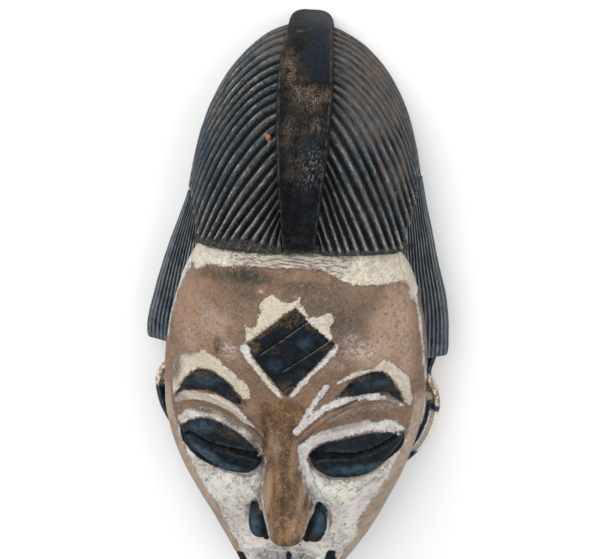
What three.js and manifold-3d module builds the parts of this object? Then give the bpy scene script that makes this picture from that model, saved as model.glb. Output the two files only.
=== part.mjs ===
// Punu mask: a face mask carved from one block of light wood, hollow behind.
//
// It lies on its open back. +X is the wearer's left, seen from the front as the right-hand side,
// +Y runs from the chin to the crown, and +Z points out of the face. Millimetres.
// The face is a tall convex shield with a diamond on the forehead, thick brows, hooded eyes and a
// long nose. Above it the hair is a dome of curved flutes on both sides of a raised crest. Grooved
// side tresses flare behind the cheeks, with a small ear under each.

import * as THREE from 'three';
import Module from 'manifold-3d';

// Overall sizes
const HAIRLINE = 236;          // height of the hairline on the middle line
const DOME_TOP = 345.5;        // back rim of the hair dome, on the middle line
const CREST_TOP = 351.5;       // back rim of the crest
const HAIR_HALF = 68.3;        // half width of the hair dome
const HAIR_FRONT = 85;         // how far the hair stands forward over the forehead
const CREST_FRONT = 96;        // how far the crest stands forward
const FACE_TOP = 240;          // the face block ends here, inside the hair
const UNDER = -6;              // solids reach this far under the back rim before it is cut flat
const CROWN_LEAN = -2;         // the crown leans this far to the left of the middle line

// Grid steps of the surfaces, before they are simplified
const FACE_ROWS = 68;
const FACE_COLUMNS = 44;
const FLUTE_STEPS = 2;         // grid lines for each flute, its ridge and its groove
const FLUTE_LENGTH = 13;       // grid lines along a flute
const DOME_STEPS = [31, 26];   // from side to side and over the head
const SIMPLIFY = 0.24;         // how far the simplified surface may stray
const ANGLE_STEP = 0.02;       // small angle in radians, for slopes and for the face's two edges

// Profiles of the face, as [height, size] pairs that a smooth curve joins
const FACE_WIDTH = [
  [0, 16], [14, 24.5], [26, 32.5], [38, 40], [54, 49], [72, 58.5], [90, 67], [108, 73], [127, 76.5],
  [150, 77], [170, 75.5], [190, 71.5], [204, 67.5], [217, 62.5], [228, 58], [240, 52],
];
const FACE_DEPTH = [
  [0, 46], [14, 55], [30, 58], [60, 62], [90, 65], [120, 68], [145, 73], [170, 80], [190, 83.5],
  [210, 84.5], [225, 83.5], [240, 80],
];
const FACE_SHOULDER = [[0, 36], [60, 34], [120, 30], [170, 28], [240, 26]];
const FACE_POWER = 2.25;       // roundness of the face across, 2 would be an ellipse
const CHIN_ROUND = 3;          // how quickly the chin's outline opens
const CHIN_DROP = 6;           // how far the chin's tip falls back
const CHIN_TUCK = 5;           // the chin's wall slopes in by this much towards the back
const CHIN_TUCK_SPREAD = 30;
const CHIN_FIRST = 0.1;        // height of the first section above the chin's tip
const ROW_CROWDING = 1.3;      // above 1, the sections crowd towards the chin
const WALL_DRAFT = 0.06;       // the side walls draw in by this share towards the back
const WALL_STEPS = 5;
const WALL_SHARE = 0.9;        // the wall's last grid line is at this share of its height
const JAW_LEAN = 3.8;          // the jaw is fuller on the right by this much
const JAW_LEAN_AT = 45;
const JAW_LEAN_SPREAD = 35;

// The eyes, brows and ridges of each side, as [across, height] pairs
const LEFT = {
  upperLid: [[-66, 119], [-57, 127], [-46, 127.5], [-35, 124.5], [-23, 117], [-15, 104]],
  lowerLid: [[-66, 119], [-60, 109], [-53, 102], [-45, 97], [-36, 94], [-24, 93.5], [-15, 104]],
  slit: [[-61, 113], [-57, 116], [-47, 112.5], [-36, 111], [-26, 110], [-16, 108]],
  browTop: [[-68, 143], [-63, 154], [-55, 161], [-45, 159.5], [-37, 154], [-24, 139]],
  browFoot: [[-68, 142], [-59, 147], [-49, 148], [-40, 145], [-24, 138]],
  ridge: [[-69, 138], [-59, 145], [-49, 145.5], [-40, 141.5], [-29, 134], [-10, 116]],
  socket: { x: -40, y: 116, across: 34, up: 27, tilt: 0.3 },
  nostril: { x: -13.5, y: 67 },
};
const RIGHT = {
  upperLid: [[12, 106], [18, 112.5], [25, 118], [36, 122.5], [47, 125.5], [57, 126.5], [66, 120]],
  lowerLid: [[12, 106], [20, 97], [30, 95], [42, 96], [52, 101], [60, 110], [66, 120]],
  slit: [[13, 109], [22, 112], [33, 112], [44, 114], [53, 118], [64, 124]],
  browTop: [[20, 141], [29, 155], [37, 164], [46, 166.5], [53, 166], [58, 162], [65, 150]],
  browFoot: [[20, 140], [30, 147], [38, 151], [48, 153], [55, 153], [65, 149]],
  ridge: [[4, 120], [14, 131], [23, 140], [33, 146], [44, 149], [55, 149.5], [66, 145]],
  socket: { x: 40, y: 117, across: 34, up: 27, tilt: -0.3 },
  nostril: { x: 16.5, y: 66.5 },
};
const SOCKET_DEPTH = 6.5;
const EYE_BULGE = 8.5;
const SLIT_DEPTH = 3;
const SLIT_HALF = 2.2;
const BROW_HEIGHT = 3.2;
const BROW_TAPER = 7;          // a brow fades out over this length at both ends
const RIDGE_HEIGHT = 1.4;
const RIDGE_HALF = 3;

// Nose: height above the face and half width, along the height
const NOSE_HEIGHT = [
  [58.5, 0], [60, 9], [62, 17], [66, 24.5], [70, 26.5], [76, 24.5], [90, 17], [105, 9.5], [120, 4],
  [132, 0],
];
const NOSE_WIDTH = [[58, 12.5], [66, 14.5], [74, 15.5], [85, 15], [100, 13], [120, 10.5], [135, 9]];
const NOSE_MIDDLE = [[58, 1.5], [70, 1], [86, -1], [110, -4], [135, -4]];
const NOSE_SQUARE = 2.6;       // squareness of the nose's section
const NOSE_SOFT = 1.1;         // above 1, its foot runs out softly into the cheek
const NOSTRIL = { across: 9, up: 12, height: 12.5 };

// Diamond on the forehead
const DIAMOND = [[-0.5, 206.5], [22.3, 186], [-3, 149.5], [-26.8, 181]];
const DIAMOND_HEIGHT = 1.8;
const DIAMOND_SLOPE = 1.8;     // width of its sloping edge
const DIAMOND_SPREAD = 0.2;    // the foot of the slope is this far outside its corners' lines

// Mouth and chin
const MOUTH_X = 1;
const UPPER_LIP = { y: 35.5, across: 18, up: 5.5, height: 8.5 };
const LOWER_LIP = { y: 26, across: 14.5, up: 5, height: 8 };
const MOUTH_MOUND = { y: 31, across: 26, up: 15, height: 3.5 };
const CHIN_MOUND = { y: 11, across: 18, up: 11, height: 4 };

// Hair. A point of the dome is given by two angles: round, from the middle line to the side, and
// over, from the hairline to the back rim.
const DOME_SQUARE = 0.86;      // below 1, the dome's outline from the front is squarer than an ellipse
const DOME_FULL = 0.87;        // below 1, the dome is fuller towards its sides
const POLE_HEIGHT = { '-1': 217.5, 1: 223 };
const POLE_FRONT = 8;
const RIM_ANGLE = 93;          // just past the back rim
const SIDE_ANGLE = 88;         // the plain dome ends at this angle round
const FLUTES = 22;             // ridges on each side
const FLUTE_DEPTH = 2.3;
const FLUTE_SHARP = 1.2;
const FLUTE_FIRST = 0.5;
const MANTLE = 6;              // thickness of the fluted layer on the plain dome
const CORE_INSET = 3.2;
const CREST_EDGE = 0.13;       // angle round at which the flutes leave the crest
const BORDER = 5;              // plain band along the hairline
// Angles in degrees of the ridges' two ends, against the number of the ridge
const FLUTE_START = {
  '-1': [[0, 3.5], [1, 6.5], [3, 11], [5, 17], [7, 23.3], [9, 31], [11, 38], [14, 49], [17, 62], [22, 92]],
  1: [[0, 2], [1, 5], [2, 9.3], [3, 15.6], [5, 23.3], [7, 30.5], [9, 40], [12, 49], [17, 67], [22, 92]],
};
const FLUTE_END_ROUND = {
  '-1': [[0, 6], [1, 9.5], [2, 14], [4, 23], [6, 34.5], [8, 44.7], [10, 54], [12, 59], [17, 71], [22, 84]],
  1: [[0, 9], [1, 11.5], [2, 15], [5, 27], [7, 37.7], [9, 49], [11, 57], [13, 62.7], [17, 73], [22, 84]],
};
const FLUTE_END_OVER = {
  '-1': [[0, 0], [9, 0], [10, 1], [12, 8.5], [14, 20], [17, 42], [22, 92]],
  1: [[0, 0], [9, 0], [10, 1], [12, 12], [14, 26], [17, 49], [22, 92]],
};
const FLUTE_BEND = [[0, 1], [6, 1], [8, 1.15], [10, 1.45], [13, 1.85], [22, 1.9]];

// Crest
const CREST_WIDTH = [
  [235, 8.5], [246, 9.2], [262, 10.7], [283, 12.7], [302, 14.1], [325, 14.5], [340, 14], [352, 12.8],
];
const CREST_SQUARE = 0.8;
const CREST_DEPTH = 14;
const CREST_ROOT = 28;         // the crest is rooted this deep in the dome
const CREST_DIP = 8;           // the crest sinks by this much into the hairline band
const CREST_DIP_LENGTH = 8;
const CREST_ROOT_WIDTH = 0.8;  // share of its width that the root has
const CREST_FOOT = 1;          // the crest starts this far below the hairline
// Squareness of the crest's section at each height.
const CREST_POWER = [[235, 4.4], [325, 4.2], [345, 3.3]];
const CREST_STEPS = 22;
const CREST_AROUND = 14;

// Side tresses: half width against height, and their section
const TRESS = {
  '-1': [[161, 89.6], [170, 89.2], [190, 85], [209, 80], [230, 73.2], [250, 66.5]],
  1: [[161, 89.6], [183, 87.5], [199, 84], [215, 79], [233, 74], [250, 69], [266, 65]],
};
const TRESS_ROOT = 48;         // the tresses reach this far in, inside the head
const TRESS_BACK = 8;          // the back of a tress is this far above the back rim
const TRESS_EDGE = 21;         // front of the outer edge, before its bevel
const TRESS_BEVEL = 5;
const TRESS_BEVEL_SHARE = 0.05;  // share of the width that the bevel takes
const TRESS_RISE = 21;         // the front rises by this much towards the head
const TRESS_CROWN = 14;        // and by this much more at the top, to meet the hair
const TRESS_CROWN_FROM = 50;   // starting and ending this far above the cut end
const TRESS_CROWN_TO = 85;
const TRESS_GROOVES = 8;
const TRESS_GROOVE_DEPTH = 1.1;
const TRESS_PLAIN = 0.12;      // share of the width left plain along the outer edge
const TRESS_GROOVED = 0.6;     // the grooves end at this share of the width
const TRESS_FOOT = 7;          // plain length above the cut end
const TRESS_FOOT_FADE = 2;     // over which the grooves run out
const TRESS_CORNER = 0.6;      // rounding of the cut end's corner, across and up
const TRESS_CORNER_UP = 3;
const TRESS_UNDERCUT = 3;      // the back is narrower than the front by this much
const TRESS_ROWS = 12;

// Ears: half width against height
const EAR = {
  '-1': [[97, 71], [108, 77], [117, 80.8], [126, 83.2], [132, 84], [139, 82.3], [145.5, 75]],
  1: [
    [87, 71], [97, 78.3], [106, 83], [117, 86.2], [127, 87.2], [135, 86], [142, 82.3], [148, 80.3],
    [157, 82.5], [164, 84.5],
  ],
};
const EAR_ROOT = 62;
const EAR_MIDDLE = 17;         // middle of the ear's depth
const EAR_HALF = 10;           // half its depth
const EAR_HOLLOW = 4;
const EAR_RIM = 3;
const EAR_LIP = 2;             // slope between the rim and the hollow
const EAR_BEVEL = 1;
const EAR_UNDERCUT = 4;        // the back is narrower than the front by this much
const EAR_THIN = 0.8;          // share of the depth that is lost towards the ends
const EAR_ROWS = 13;

// Hollow: half width and depth against height
const HOLLOW_WIDTH = [
  [16, 8], [30, 19], [60, 38], [100, 57], [150, 62], [200, 56], [240, 53], [290, 44], [315, 31], [330, 15],
];
const HOLLOW_DEPTH = [
  [16, 26], [30, 38], [60, 46], [120, 50], [180, 64], [230, 67], [280, 62], [310, 46], [330, 18],
];
const HOLLOW_POWER = 2.6;
const HOLLOW_ROWS = 22;
const HOLLOW_AROUND = 17;

const ROOM = 400;              // larger than the carving, for the block that cuts the rim flat

const RADIANS = Math.PI / 180;

// Value at v of the smooth curve through [v, value] points, held flat past both ends.
function curve(points, v) {
  const last = points.length - 1;
  const at = Math.min(Math.max(v, points[0][0]), points[last][0]);
  let i = 0;
  while (i < last - 1 && at > points[i + 1][0]) i += 1;
  const step = points[i + 1][0] - points[i][0];
  const t = (at - points[i][0]) / step;
  const from = points[i][1];
  const to = points[i + 1][1];
  const bend = slope(points, i) * t * (1 - t) ** 2 - slope(points, i + 1) * t * t * (1 - t);
  return from * (1 + 2 * t) * (1 - t) ** 2 + to * t * t * (3 - 2 * t) + step * bend;
}

// Slope at point i: the harmonic mean of both sides, so that the curve never overshoots.
function slope(points, i) {
  const chord = (j) => (points[j + 1][1] - points[j][1]) / (points[j + 1][0] - points[j][0]);
  if (i === 0) return chord(0);
  if (i === points.length - 1) return chord(i - 1);
  const before = chord(i - 1);
  const after = chord(i);
  return before * after > 0 ? (2 * before * after) / (before + after) : 0;
}

// Soft step from 0 to 1 between two values.
function soft(low, high, v) {
  const t = Math.min(Math.max((v - low) / (high - low), 0), 1);
  return t * t * (3 - 2 * t);
}

// A power that keeps the sign of its value.
const signedPower = (v, power) => Math.sign(v) * Math.abs(v) ** power;

// A power of a value, and 0 where the value is negative.
const rise = (v, power) => Math.max(v, 0) ** power;

// Evenly spaced values, both ends among them.
const steps = (count, from, to) => (
  Array.from({ length: count }, (_, i) => from + ((to - from) * i) / (count - 1))
);

// Face

const faceWidth = (y) => curve(FACE_WIDTH, y) * Math.sqrt(1 - Math.exp(-y / CHIN_ROUND));
const faceDepth = (y) => curve(FACE_DEPTH, y) - CHIN_DROP * Math.exp(-y / (CHIN_ROUND + 1));
const jawLean = (y) => JAW_LEAN * Math.exp(-(((y - JAW_LEAN_AT) / JAW_LEAN_SPREAD) ** 2));

// Plain face at an angle across and a height: a squared ellipse on the shoulder line.
function facePoint(angle, y) {
  const shoulder = curve(FACE_SHOULDER, y);
  const x = jawLean(y) + faceWidth(y) * signedPower(Math.sin(angle), 2 / FACE_POWER);
  const z = shoulder + (faceDepth(y) - shoulder) * rise(Math.cos(angle), 2 / FACE_POWER);
  return new THREE.Vector3(x, y, z);
}

// Where a point lies between two curves: -1 on the lower, 1 on the upper, and 9 outside their ends.
function between(lower, upper, x, y) {
  if (x <= lower[0][0] || x >= lower[lower.length - 1][0]) return 9;
  const low = curve(lower, x);
  const high = curve(upper, x);
  return (y - (low + high) / 2) / Math.max((high - low) / 2, 0.001);
}

// A domed oval of the given half sizes and height.
function oval(form, x, y, centre) {
  const dx = (x - centre) / form.across;
  const dy = (y - form.y) / form.up;
  return form.height * rise(1 - dx * dx - dy * dy, 1);
}

function eyeRelief(side, x, y) {
  const q = between(side.lowerLid, side.upperLid, x, y);
  if (Math.abs(q) >= 1) return 0;
  const from = side.lowerLid[0][0];
  const to = side.lowerLid[side.lowerLid.length - 1][0];
  const along = rise(1 - ((2 * x - from - to) / (to - from)) ** 2, 0.45);
  const cut = SLIT_DEPTH * (1 - soft(0, SLIT_HALF, Math.abs(y - curve(side.slit, x))));
  return EYE_BULGE * rise(1 - q * q, 0.6) * along - cut * along;
}

function socketRelief({ x: cx, y: cy, across, up, tilt }, x, y) {
  const dx = (x - cx) / across;
  const dy = (y - cy + tilt * (x - cx)) / up;
  return -SOCKET_DEPTH * rise(1 - dx * dx - dy * dy, 1);
}

function browRelief(side, x, y) {
  const q = between(side.browFoot, side.browTop, x, y);
  if (Math.abs(q) >= 1) return 0;
  const from = side.browFoot[0][0];
  const to = side.browFoot[side.browFoot.length - 1][0];
  return BROW_HEIGHT * rise(1 - q * q, 0.6) * soft(0, BROW_TAPER, x - from) * soft(0, BROW_TAPER, to - x);
}

function ridgeRelief(side, x, y) {
  const last = side.ridge.length - 1;
  if (x <= side.ridge[0][0] || x >= side.ridge[last][0]) return 0;
  const off = (y - curve(side.ridge, x)) / RIDGE_HALF;
  return RIDGE_HEIGHT * rise(1 - off * off, 2);
}

function noseRelief(x, y) {
  const across = Math.abs((x - curve(NOSE_MIDDLE, y)) / curve(NOSE_WIDTH, y));
  const bridge = curve(NOSE_HEIGHT, y) * rise(1 - across ** NOSE_SQUARE, NOSE_SOFT);
  const wing = ({ nostril }) => {
    const dx = (x - nostril.x) / NOSTRIL.across;
    const dy = (y - nostril.y) / NOSTRIL.up;
    return NOSTRIL.height * rise(1 - dx * dx - dy * dy, 0.5);
  };
  return Math.max(bridge, wing(LEFT), wing(RIGHT));
}

// Raised where a point is inside all four edges of the diamond.
function diamondRelief(x, y) {
  const off = DIAMOND.map(([ax, ay], i) => {
    const [bx, by] = DIAMOND[(i + 1) % DIAMOND.length];
    return ((x - ax) * (by - ay) - (y - ay) * (bx - ax)) / Math.hypot(bx - ax, by - ay);
  });
  return DIAMOND_HEIGHT * (1 - soft(-DIAMOND_SLOPE, DIAMOND_SPREAD, Math.max(...off)));
}

function mouthRelief(x, y) {
  const lips = Math.max(oval(UPPER_LIP, x, y, MOUTH_X), oval(LOWER_LIP, x, y, MOUTH_X));
  return lips + oval(MOUTH_MOUND, x, y, MOUTH_X) + oval(CHIN_MOUND, x, y, MOUTH_X);
}

// Height of all carving above the plain face.
function relief(x, y) {
  let height = noseRelief(x, y) + diamondRelief(x, y) + mouthRelief(x, y);
  for (const side of [LEFT, RIGHT]) {
    height += socketRelief(side.socket, x, y) + eyeRelief(side, x, y);
    height += Math.max(browRelief(side, x, y), ridgeRelief(side, x, y));
  }
  return height;
}

// Outward direction of the plain face at a point, from its neighbours.
function faceNormal(angle, y) {
  const across = facePoint(angle + ANGLE_STEP, y).sub(facePoint(angle - ANGLE_STEP, y));
  const up = facePoint(angle, y + 1).sub(facePoint(angle, Math.max(y - 1, CHIN_FIRST / 2)));
  return across.cross(up).normalize();
}

// One closed section of the face block: the back, the wall, the carved front and the other wall.
function faceRing(y) {
  const edge = Math.PI / 2 - ANGLE_STEP;
  const front = steps(FACE_COLUMNS, -edge, edge).map((angle) => {
    const plain = facePoint(angle, y);
    return plain.clone().addScaledVector(faceNormal(angle, y), relief(plain.x, plain.y));
  });
  const wall = (end) => steps(WALL_STEPS, 0, WALL_SHARE).map((t) => {
    const z = UNDER + (end.z - UNDER) * t;
    const tuck = 1 - Math.max(z, 0) / end.z;
    const x = jawLean(y) + (end.x - jawLean(y)) * (1 - WALL_DRAFT * tuck);
    return new THREE.Vector3(x, y + chinTuck(y, tuck), z);
  });
  return [...wall(front[0]), ...front, ...wall(front[front.length - 1]).reverse()];
}

const chinTuck = (y, tuck) => CHIN_TUCK * tuck * Math.exp(-y / CHIN_TUCK_SPREAD);

// Rows crowd towards the chin, where the outline turns fastest.
function makeFace() {
  const heights = steps(FACE_ROWS, 0, 1).map((t) => (
    CHIN_FIRST + (FACE_TOP - CHIN_FIRST) * t ** ROW_CROWDING
  ));
  return loft(heights.map(faceRing));
}

// Hair

// Middle line of the dome or the crest at an angle over the head, as [height, front].
function overHead(angle, from, to, front, square) {
  const up = from + (to - from) * rise(Math.sin(angle), square);
  return [up, front * signedPower(Math.cos(angle), square)];
}

const crownLean = (y) => (CROWN_LEAN * (y - HAIRLINE)) / (DOME_TOP - HAIRLINE);

// A point of the dome on one side, moved out by a distance.
function domePoint(round, over, side, out) {
  const [up, front] = overHead(over, HAIRLINE, DOME_TOP, HAIR_FRONT, DOME_SQUARE);
  const pole = POLE_HEIGHT[side];
  const fall = rise(Math.cos(round), DOME_FULL);
  const y = pole + (up - pole + out * Math.sin(over)) * fall;
  const z = POLE_FRONT + (front - POLE_FRONT + out * Math.cos(over)) * fall;
  return new THREE.Vector3(side * (HAIR_HALF + out) * Math.sin(round) + crownLean(y), y, z);
}

// Plain dome under the flutes: sections from side to side, each closed along the head's axis.
function makeDomeCore() {
  const end = SIDE_ANGLE * RADIANS;
  const [roundSteps, overSteps] = DOME_STEPS;
  const rings = steps(roundSteps, -end, end).map((round) => {
    const side = round < 0 ? -1 : 1;
    const arc = steps(overSteps, 0, RIM_ANGLE * RADIANS).map((over) => (
      domePoint(Math.abs(round), over, side, -CORE_INSET)
    ));
    const x = arc[0].x;
    return [...arc, new THREE.Vector3(x, POLE_HEIGHT[side], UNDER)];
  });
  return loft(rings);
}

// The angles round and over of a point along a flute, from the crest (0) to its far end (1).
function fluteAngles(flute, along, side) {
  const endRound = curve(FLUTE_END_ROUND[side], flute) * RADIANS;
  const endOver = curve(FLUTE_END_OVER[side], flute) * RADIANS;
  const startOver = curve(FLUTE_START[side], flute) * RADIANS;
  const fall = 1 - along ** curve(FLUTE_BEND, flute);
  return [CREST_EDGE + (endRound - CREST_EDGE) * along, endOver + (startOver - endOver) * fall];
}

// Fluted layer of one side: the outer skin sinks between whole flute numbers.
function makeFlutes(side) {
  const outer = [];
  const inner = [];
  for (const flute of steps((FLUTES - FLUTE_FIRST) * FLUTE_STEPS + 1, FLUTE_FIRST, FLUTES)) {
    const off = 1 - 2 * Math.abs((flute % 1) - 0.5);
    const depth = FLUTE_DEPTH * off ** FLUTE_SHARP;
    const row = steps(FLUTE_LENGTH, 0, 1).map((along) => fluteAngles(flute, along, side));
    outer.push(row.map(([round, over]) => {
      const plain = domePoint(round, over, side, 0);
      const border = soft(0, BORDER, plain.y - domePoint(round, 0, side, 0).y);
      return domePoint(round, over, side, -depth * border);
    }));
    inner.push(row.map(([round, over]) => domePoint(round, over, side, -MANTLE)));
  }
  return slab(outer, inner);
}

// Crest: a rounded square section carried over the head.
function makeCrest() {
  const foot = HAIRLINE - CREST_FOOT;
  const rings = steps(CREST_STEPS, ANGLE_STEP, RIM_ANGLE * RADIANS).map((over) => {
    const [up, front] = overHead(over, foot, CREST_TOP, CREST_FRONT, CREST_SQUARE);
    const dip = CREST_DIP * Math.exp(-(up - foot) / CREST_DIP_LENGTH);
    const half = curve(CREST_WIDTH, up);
    const power = 2 / curve(CREST_POWER, up);
    const arc = steps(CREST_AROUND, -Math.PI / 2, Math.PI / 2).map((angle) => [
      half * signedPower(Math.sin(angle), power),
      CREST_DEPTH * (1 - rise(Math.cos(angle), power)),
    ]);
    const root = [1, -1].map((side) => [side * CREST_ROOT_WIDTH * half, CREST_ROOT]);
    return [...arc, ...root].map(([x, down]) => new THREE.Vector3(
      x + crownLean(up),
      up - Math.sin(over) * down,
      front - dip - Math.cos(over) * down,
    ));
  });
  return loft(rings);
}

// Side tresses and ears

// Depth of the lengthwise grooves at a share of the tress's width.
function tressGroove(share) {
  if (share < TRESS_PLAIN || share > TRESS_GROOVED) return 0;
  const turn = ((share - TRESS_PLAIN) / (TRESS_GROOVED - TRESS_PLAIN)) * TRESS_GROOVES;
  return TRESS_GROOVE_DEPTH * (1 - 2 * Math.abs((turn % 1) - 0.5));
}

function makeTress(side) {
  const outline = TRESS[side];
  const foot = outline[0][0];
  const head = outline[outline.length - 1][0];
  const across = steps(TRESS_GROOVES * 2 + 1, TRESS_PLAIN, TRESS_GROOVED);
  const rings = steps(TRESS_ROWS, foot, head).map((y) => {
    const edge = curve(outline, y) - TRESS_CORNER * (1 - soft(0, TRESS_CORNER_UP, y - foot));
    const grooved = soft(TRESS_FOOT - TRESS_FOOT_FADE, TRESS_FOOT + TRESS_FOOT_FADE, y - foot);
    const climb = TRESS_RISE + TRESS_CROWN * soft(TRESS_CROWN_FROM, TRESS_CROWN_TO, y - foot);
    const front = [0, TRESS_BEVEL_SHARE, ...across, 1].map((share) => {
      const bevel = TRESS_EDGE + TRESS_BEVEL * Math.sqrt(Math.min(share / TRESS_BEVEL_SHARE, 1));
      const z = bevel + climb * share - grooved * tressGroove(share);
      return new THREE.Vector3(side * (edge + (TRESS_ROOT - edge) * share), y, z);
    });
    const back = [TRESS_ROOT, edge - TRESS_UNDERCUT].map((x) => (
      new THREE.Vector3(side * x, y, TRESS_BACK)
    ));
    return [...front, ...back];
  });
  return loft(rings);
}

// Ear: an oval plate with a raised rim around a hollow.
function makeEar(side) {
  const outline = EAR[side];
  const foot = outline[0][0];
  const head = outline[outline.length - 1][0];
  const rings = steps(EAR_ROWS, foot, head).map((y) => {
    const edge = curve(outline, y);
    const along = (2 * y - foot - head) / (head - foot);
    const half = EAR_HALF * Math.sqrt(1 - EAR_THIN * along * along);
    const front = EAR_MIDDLE + half;
    const hollow = front - EAR_HOLLOW * rise(1 - along * along, 1);
    const section = [
      [EAR_ROOT, EAR_MIDDLE - half],
      [EAR_ROOT, hollow],
      [edge - EAR_RIM - EAR_LIP, hollow],
      [edge - EAR_RIM, front],
      [edge - EAR_BEVEL, front],
      [edge, front - 2 * EAR_BEVEL],
      [edge, EAR_MIDDLE],
      [edge - EAR_UNDERCUT, EAR_MIDDLE - half],
    ];
    return section.map(([x, z]) => new THREE.Vector3(side * x, y, z));
  });
  return loft(rings);
}

// Hollow: sections one wall inside the outline, open at the back.
function makeHollow() {
  const foot = HOLLOW_WIDTH[0][0];
  const head = HOLLOW_WIDTH[HOLLOW_WIDTH.length - 1][0];
  const rings = steps(HOLLOW_ROWS, foot, head).map((y) => {
    const half = curve(HOLLOW_WIDTH, y);
    const arc = steps(HOLLOW_AROUND, -Math.PI / 2, Math.PI / 2).map((angle) => new THREE.Vector3(
      half * signedPower(Math.sin(angle), 2 / HOLLOW_POWER),
      y,
      curve(HOLLOW_DEPTH, y) * rise(Math.cos(angle), 2 / HOLLOW_POWER),
    ));
    const under = [half, -half].map((x) => new THREE.Vector3(x, y, 2 * UNDER));
    return [...arc, ...under];
  });
  return loft(rings);
}

// Solids

const wasm = await Module();
wasm.setup();

// A closed solid from points and triangles, turned to face outwards.
function solid(points, triangles) {
  const vertProperties = new Float32Array(points.flatMap((p) => [p.x, p.y, p.z]));
  const volume = triangles.reduce((sum, [a, b, c]) => (
    sum + points[a].dot(points[b].clone().cross(points[c]))
  ), 0);
  const turned = volume < 0 ? triangles.map(([a, b, c]) => [a, c, b]) : triangles;
  return new wasm.Manifold(new wasm.Mesh({
    numProp: 3,
    vertProperties,
    triVerts: new Uint32Array(turned.flat()),
  }));
}

// Closed rings of equal count joined into one solid, with a fan over each end.
function loft(rings) {
  const count = rings[0].length;
  const points = rings.flat();
  const triangles = [];
  for (let r = 0; r < rings.length - 1; r += 1) {
    for (let i = 0; i < count; i += 1) {
      const a = r * count + i;
      const b = r * count + ((i + 1) % count);
      triangles.push([a, b, b + count], [a, b + count, a + count]);
    }
  }
  const ends = [[0, 1], [rings.length - 1, -1]];
  for (const [r, turn] of ends) {
    const centre = rings[r].reduce((sum, p) => sum.add(p), new THREE.Vector3()).divideScalar(count);
    const hub = points.push(centre) - 1;
    for (let i = 0; i < count; i += 1) {
      const a = r * count + i;
      const b = r * count + ((i + 1) % count);
      triangles.push(turn > 0 ? [hub, b, a] : [hub, a, b]);
    }
  }
  return solid(points, triangles);
}

// The solid between two grids of the same size.
function slab(outer, inner) {
  const rows = outer.length;
  const columns = outer[0].length;
  const points = [...outer.flat(), ...inner.flat()];
  const below = rows * columns;
  const triangles = [];
  const quad = (a, b, c, d) => triangles.push([a, b, c], [a, c, d]);
  for (let r = 0; r < rows - 1; r += 1) {
    for (let c = 0; c < columns - 1; c += 1) {
      const a = r * columns + c;
      quad(a, a + 1, a + columns + 1, a + columns);
      quad(below + a, below + a + columns, below + a + columns + 1, below + a + 1);
    }
    const left = r * columns;
    const right = left + columns - 1;
    quad(left, left + columns, below + left + columns, below + left);
    quad(right, below + right, below + right + columns, right + columns);
  }
  for (let c = 0; c < columns - 1; c += 1) {
    const far = (rows - 1) * columns + c;
    quad(c, below + c, below + c + 1, c + 1);
    quad(far, far + 1, below + far + 1, below + far);
  }
  return solid(points, triangles);
}

// Everything below the back rim, to be cut away.
function makeFloor() {
  const corners = [[-ROOM, -ROOM], [ROOM, -ROOM], [ROOM, ROOM], [-ROOM, ROOM]];
  const level = (z) => corners.map(([x, y]) => new THREE.Vector3(x, y, z));
  return loft([level(-ROOM), level(0)]);
}

function makeMask() {
  let mask = makeFace().add(makeDomeCore()).add(makeCrest());
  for (const side of [-1, 1]) {
    mask = mask.add(makeFlutes(side)).add(makeTress(side)).add(makeEar(side));
  }
  return mask.subtract(makeHollow()).subtract(makeFloor()).simplify(SIMPLIFY);
}

function toGeometry(body) {
  const { vertProperties, triVerts } = body.getMesh();
  const geometry = new THREE.BufferGeometry();
  geometry.setAttribute('position', new THREE.BufferAttribute(new Float32Array(vertProperties), 3));
  geometry.setIndex(new THREE.BufferAttribute(new Uint32Array(triVerts), 1));
  geometry.computeVertexNormals();
  return geometry;
}

const wood = new THREE.MeshStandardMaterial({ color: 0x6b5a4a, roughness: 0.75, metalness: 0 });
const mask = new THREE.Mesh(toGeometry(makeMask()), wood);
mask.name = 'mask';
mask.position.y = -CREST_TOP / 2;   // the origin is in the middle of the back, on the rim's plane

const group = new THREE.Group();
group.add(mask);

export default group;
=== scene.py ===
"""Punu mask: one carved block of light wood, hollow behind, with its paint and wear.

Carving coordinates are millimetres: X to the right-hand side seen from the front, Y from the chin's
tip to the crown, Z out of the flat back rim. The piece is put into the frame at the end.
"""

import bpy
import numpy as np
from mathutils import Matrix, Vector


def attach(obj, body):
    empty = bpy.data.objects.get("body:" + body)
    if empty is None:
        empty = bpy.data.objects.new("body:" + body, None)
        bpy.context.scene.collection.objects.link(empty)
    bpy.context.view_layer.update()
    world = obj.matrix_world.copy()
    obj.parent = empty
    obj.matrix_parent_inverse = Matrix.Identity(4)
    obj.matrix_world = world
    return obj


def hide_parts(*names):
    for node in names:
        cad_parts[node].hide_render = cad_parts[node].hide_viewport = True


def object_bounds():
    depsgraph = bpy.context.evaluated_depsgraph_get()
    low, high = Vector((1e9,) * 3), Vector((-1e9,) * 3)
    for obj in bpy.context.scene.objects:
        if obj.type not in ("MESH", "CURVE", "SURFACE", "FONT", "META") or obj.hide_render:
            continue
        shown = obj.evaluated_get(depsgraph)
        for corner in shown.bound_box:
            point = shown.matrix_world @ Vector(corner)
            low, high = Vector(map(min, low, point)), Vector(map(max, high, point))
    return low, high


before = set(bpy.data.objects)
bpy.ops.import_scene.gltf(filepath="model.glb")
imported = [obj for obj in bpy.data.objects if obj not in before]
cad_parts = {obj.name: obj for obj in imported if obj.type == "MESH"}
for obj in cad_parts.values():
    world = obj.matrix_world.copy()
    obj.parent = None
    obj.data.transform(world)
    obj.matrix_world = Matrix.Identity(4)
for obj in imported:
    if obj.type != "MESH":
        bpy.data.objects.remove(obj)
cad_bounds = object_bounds()

MM = 0.001
CREST_TOP = 351.5
MIDDLE = CREST_TOP / 2         # height on the carving of the frame's origin

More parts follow.
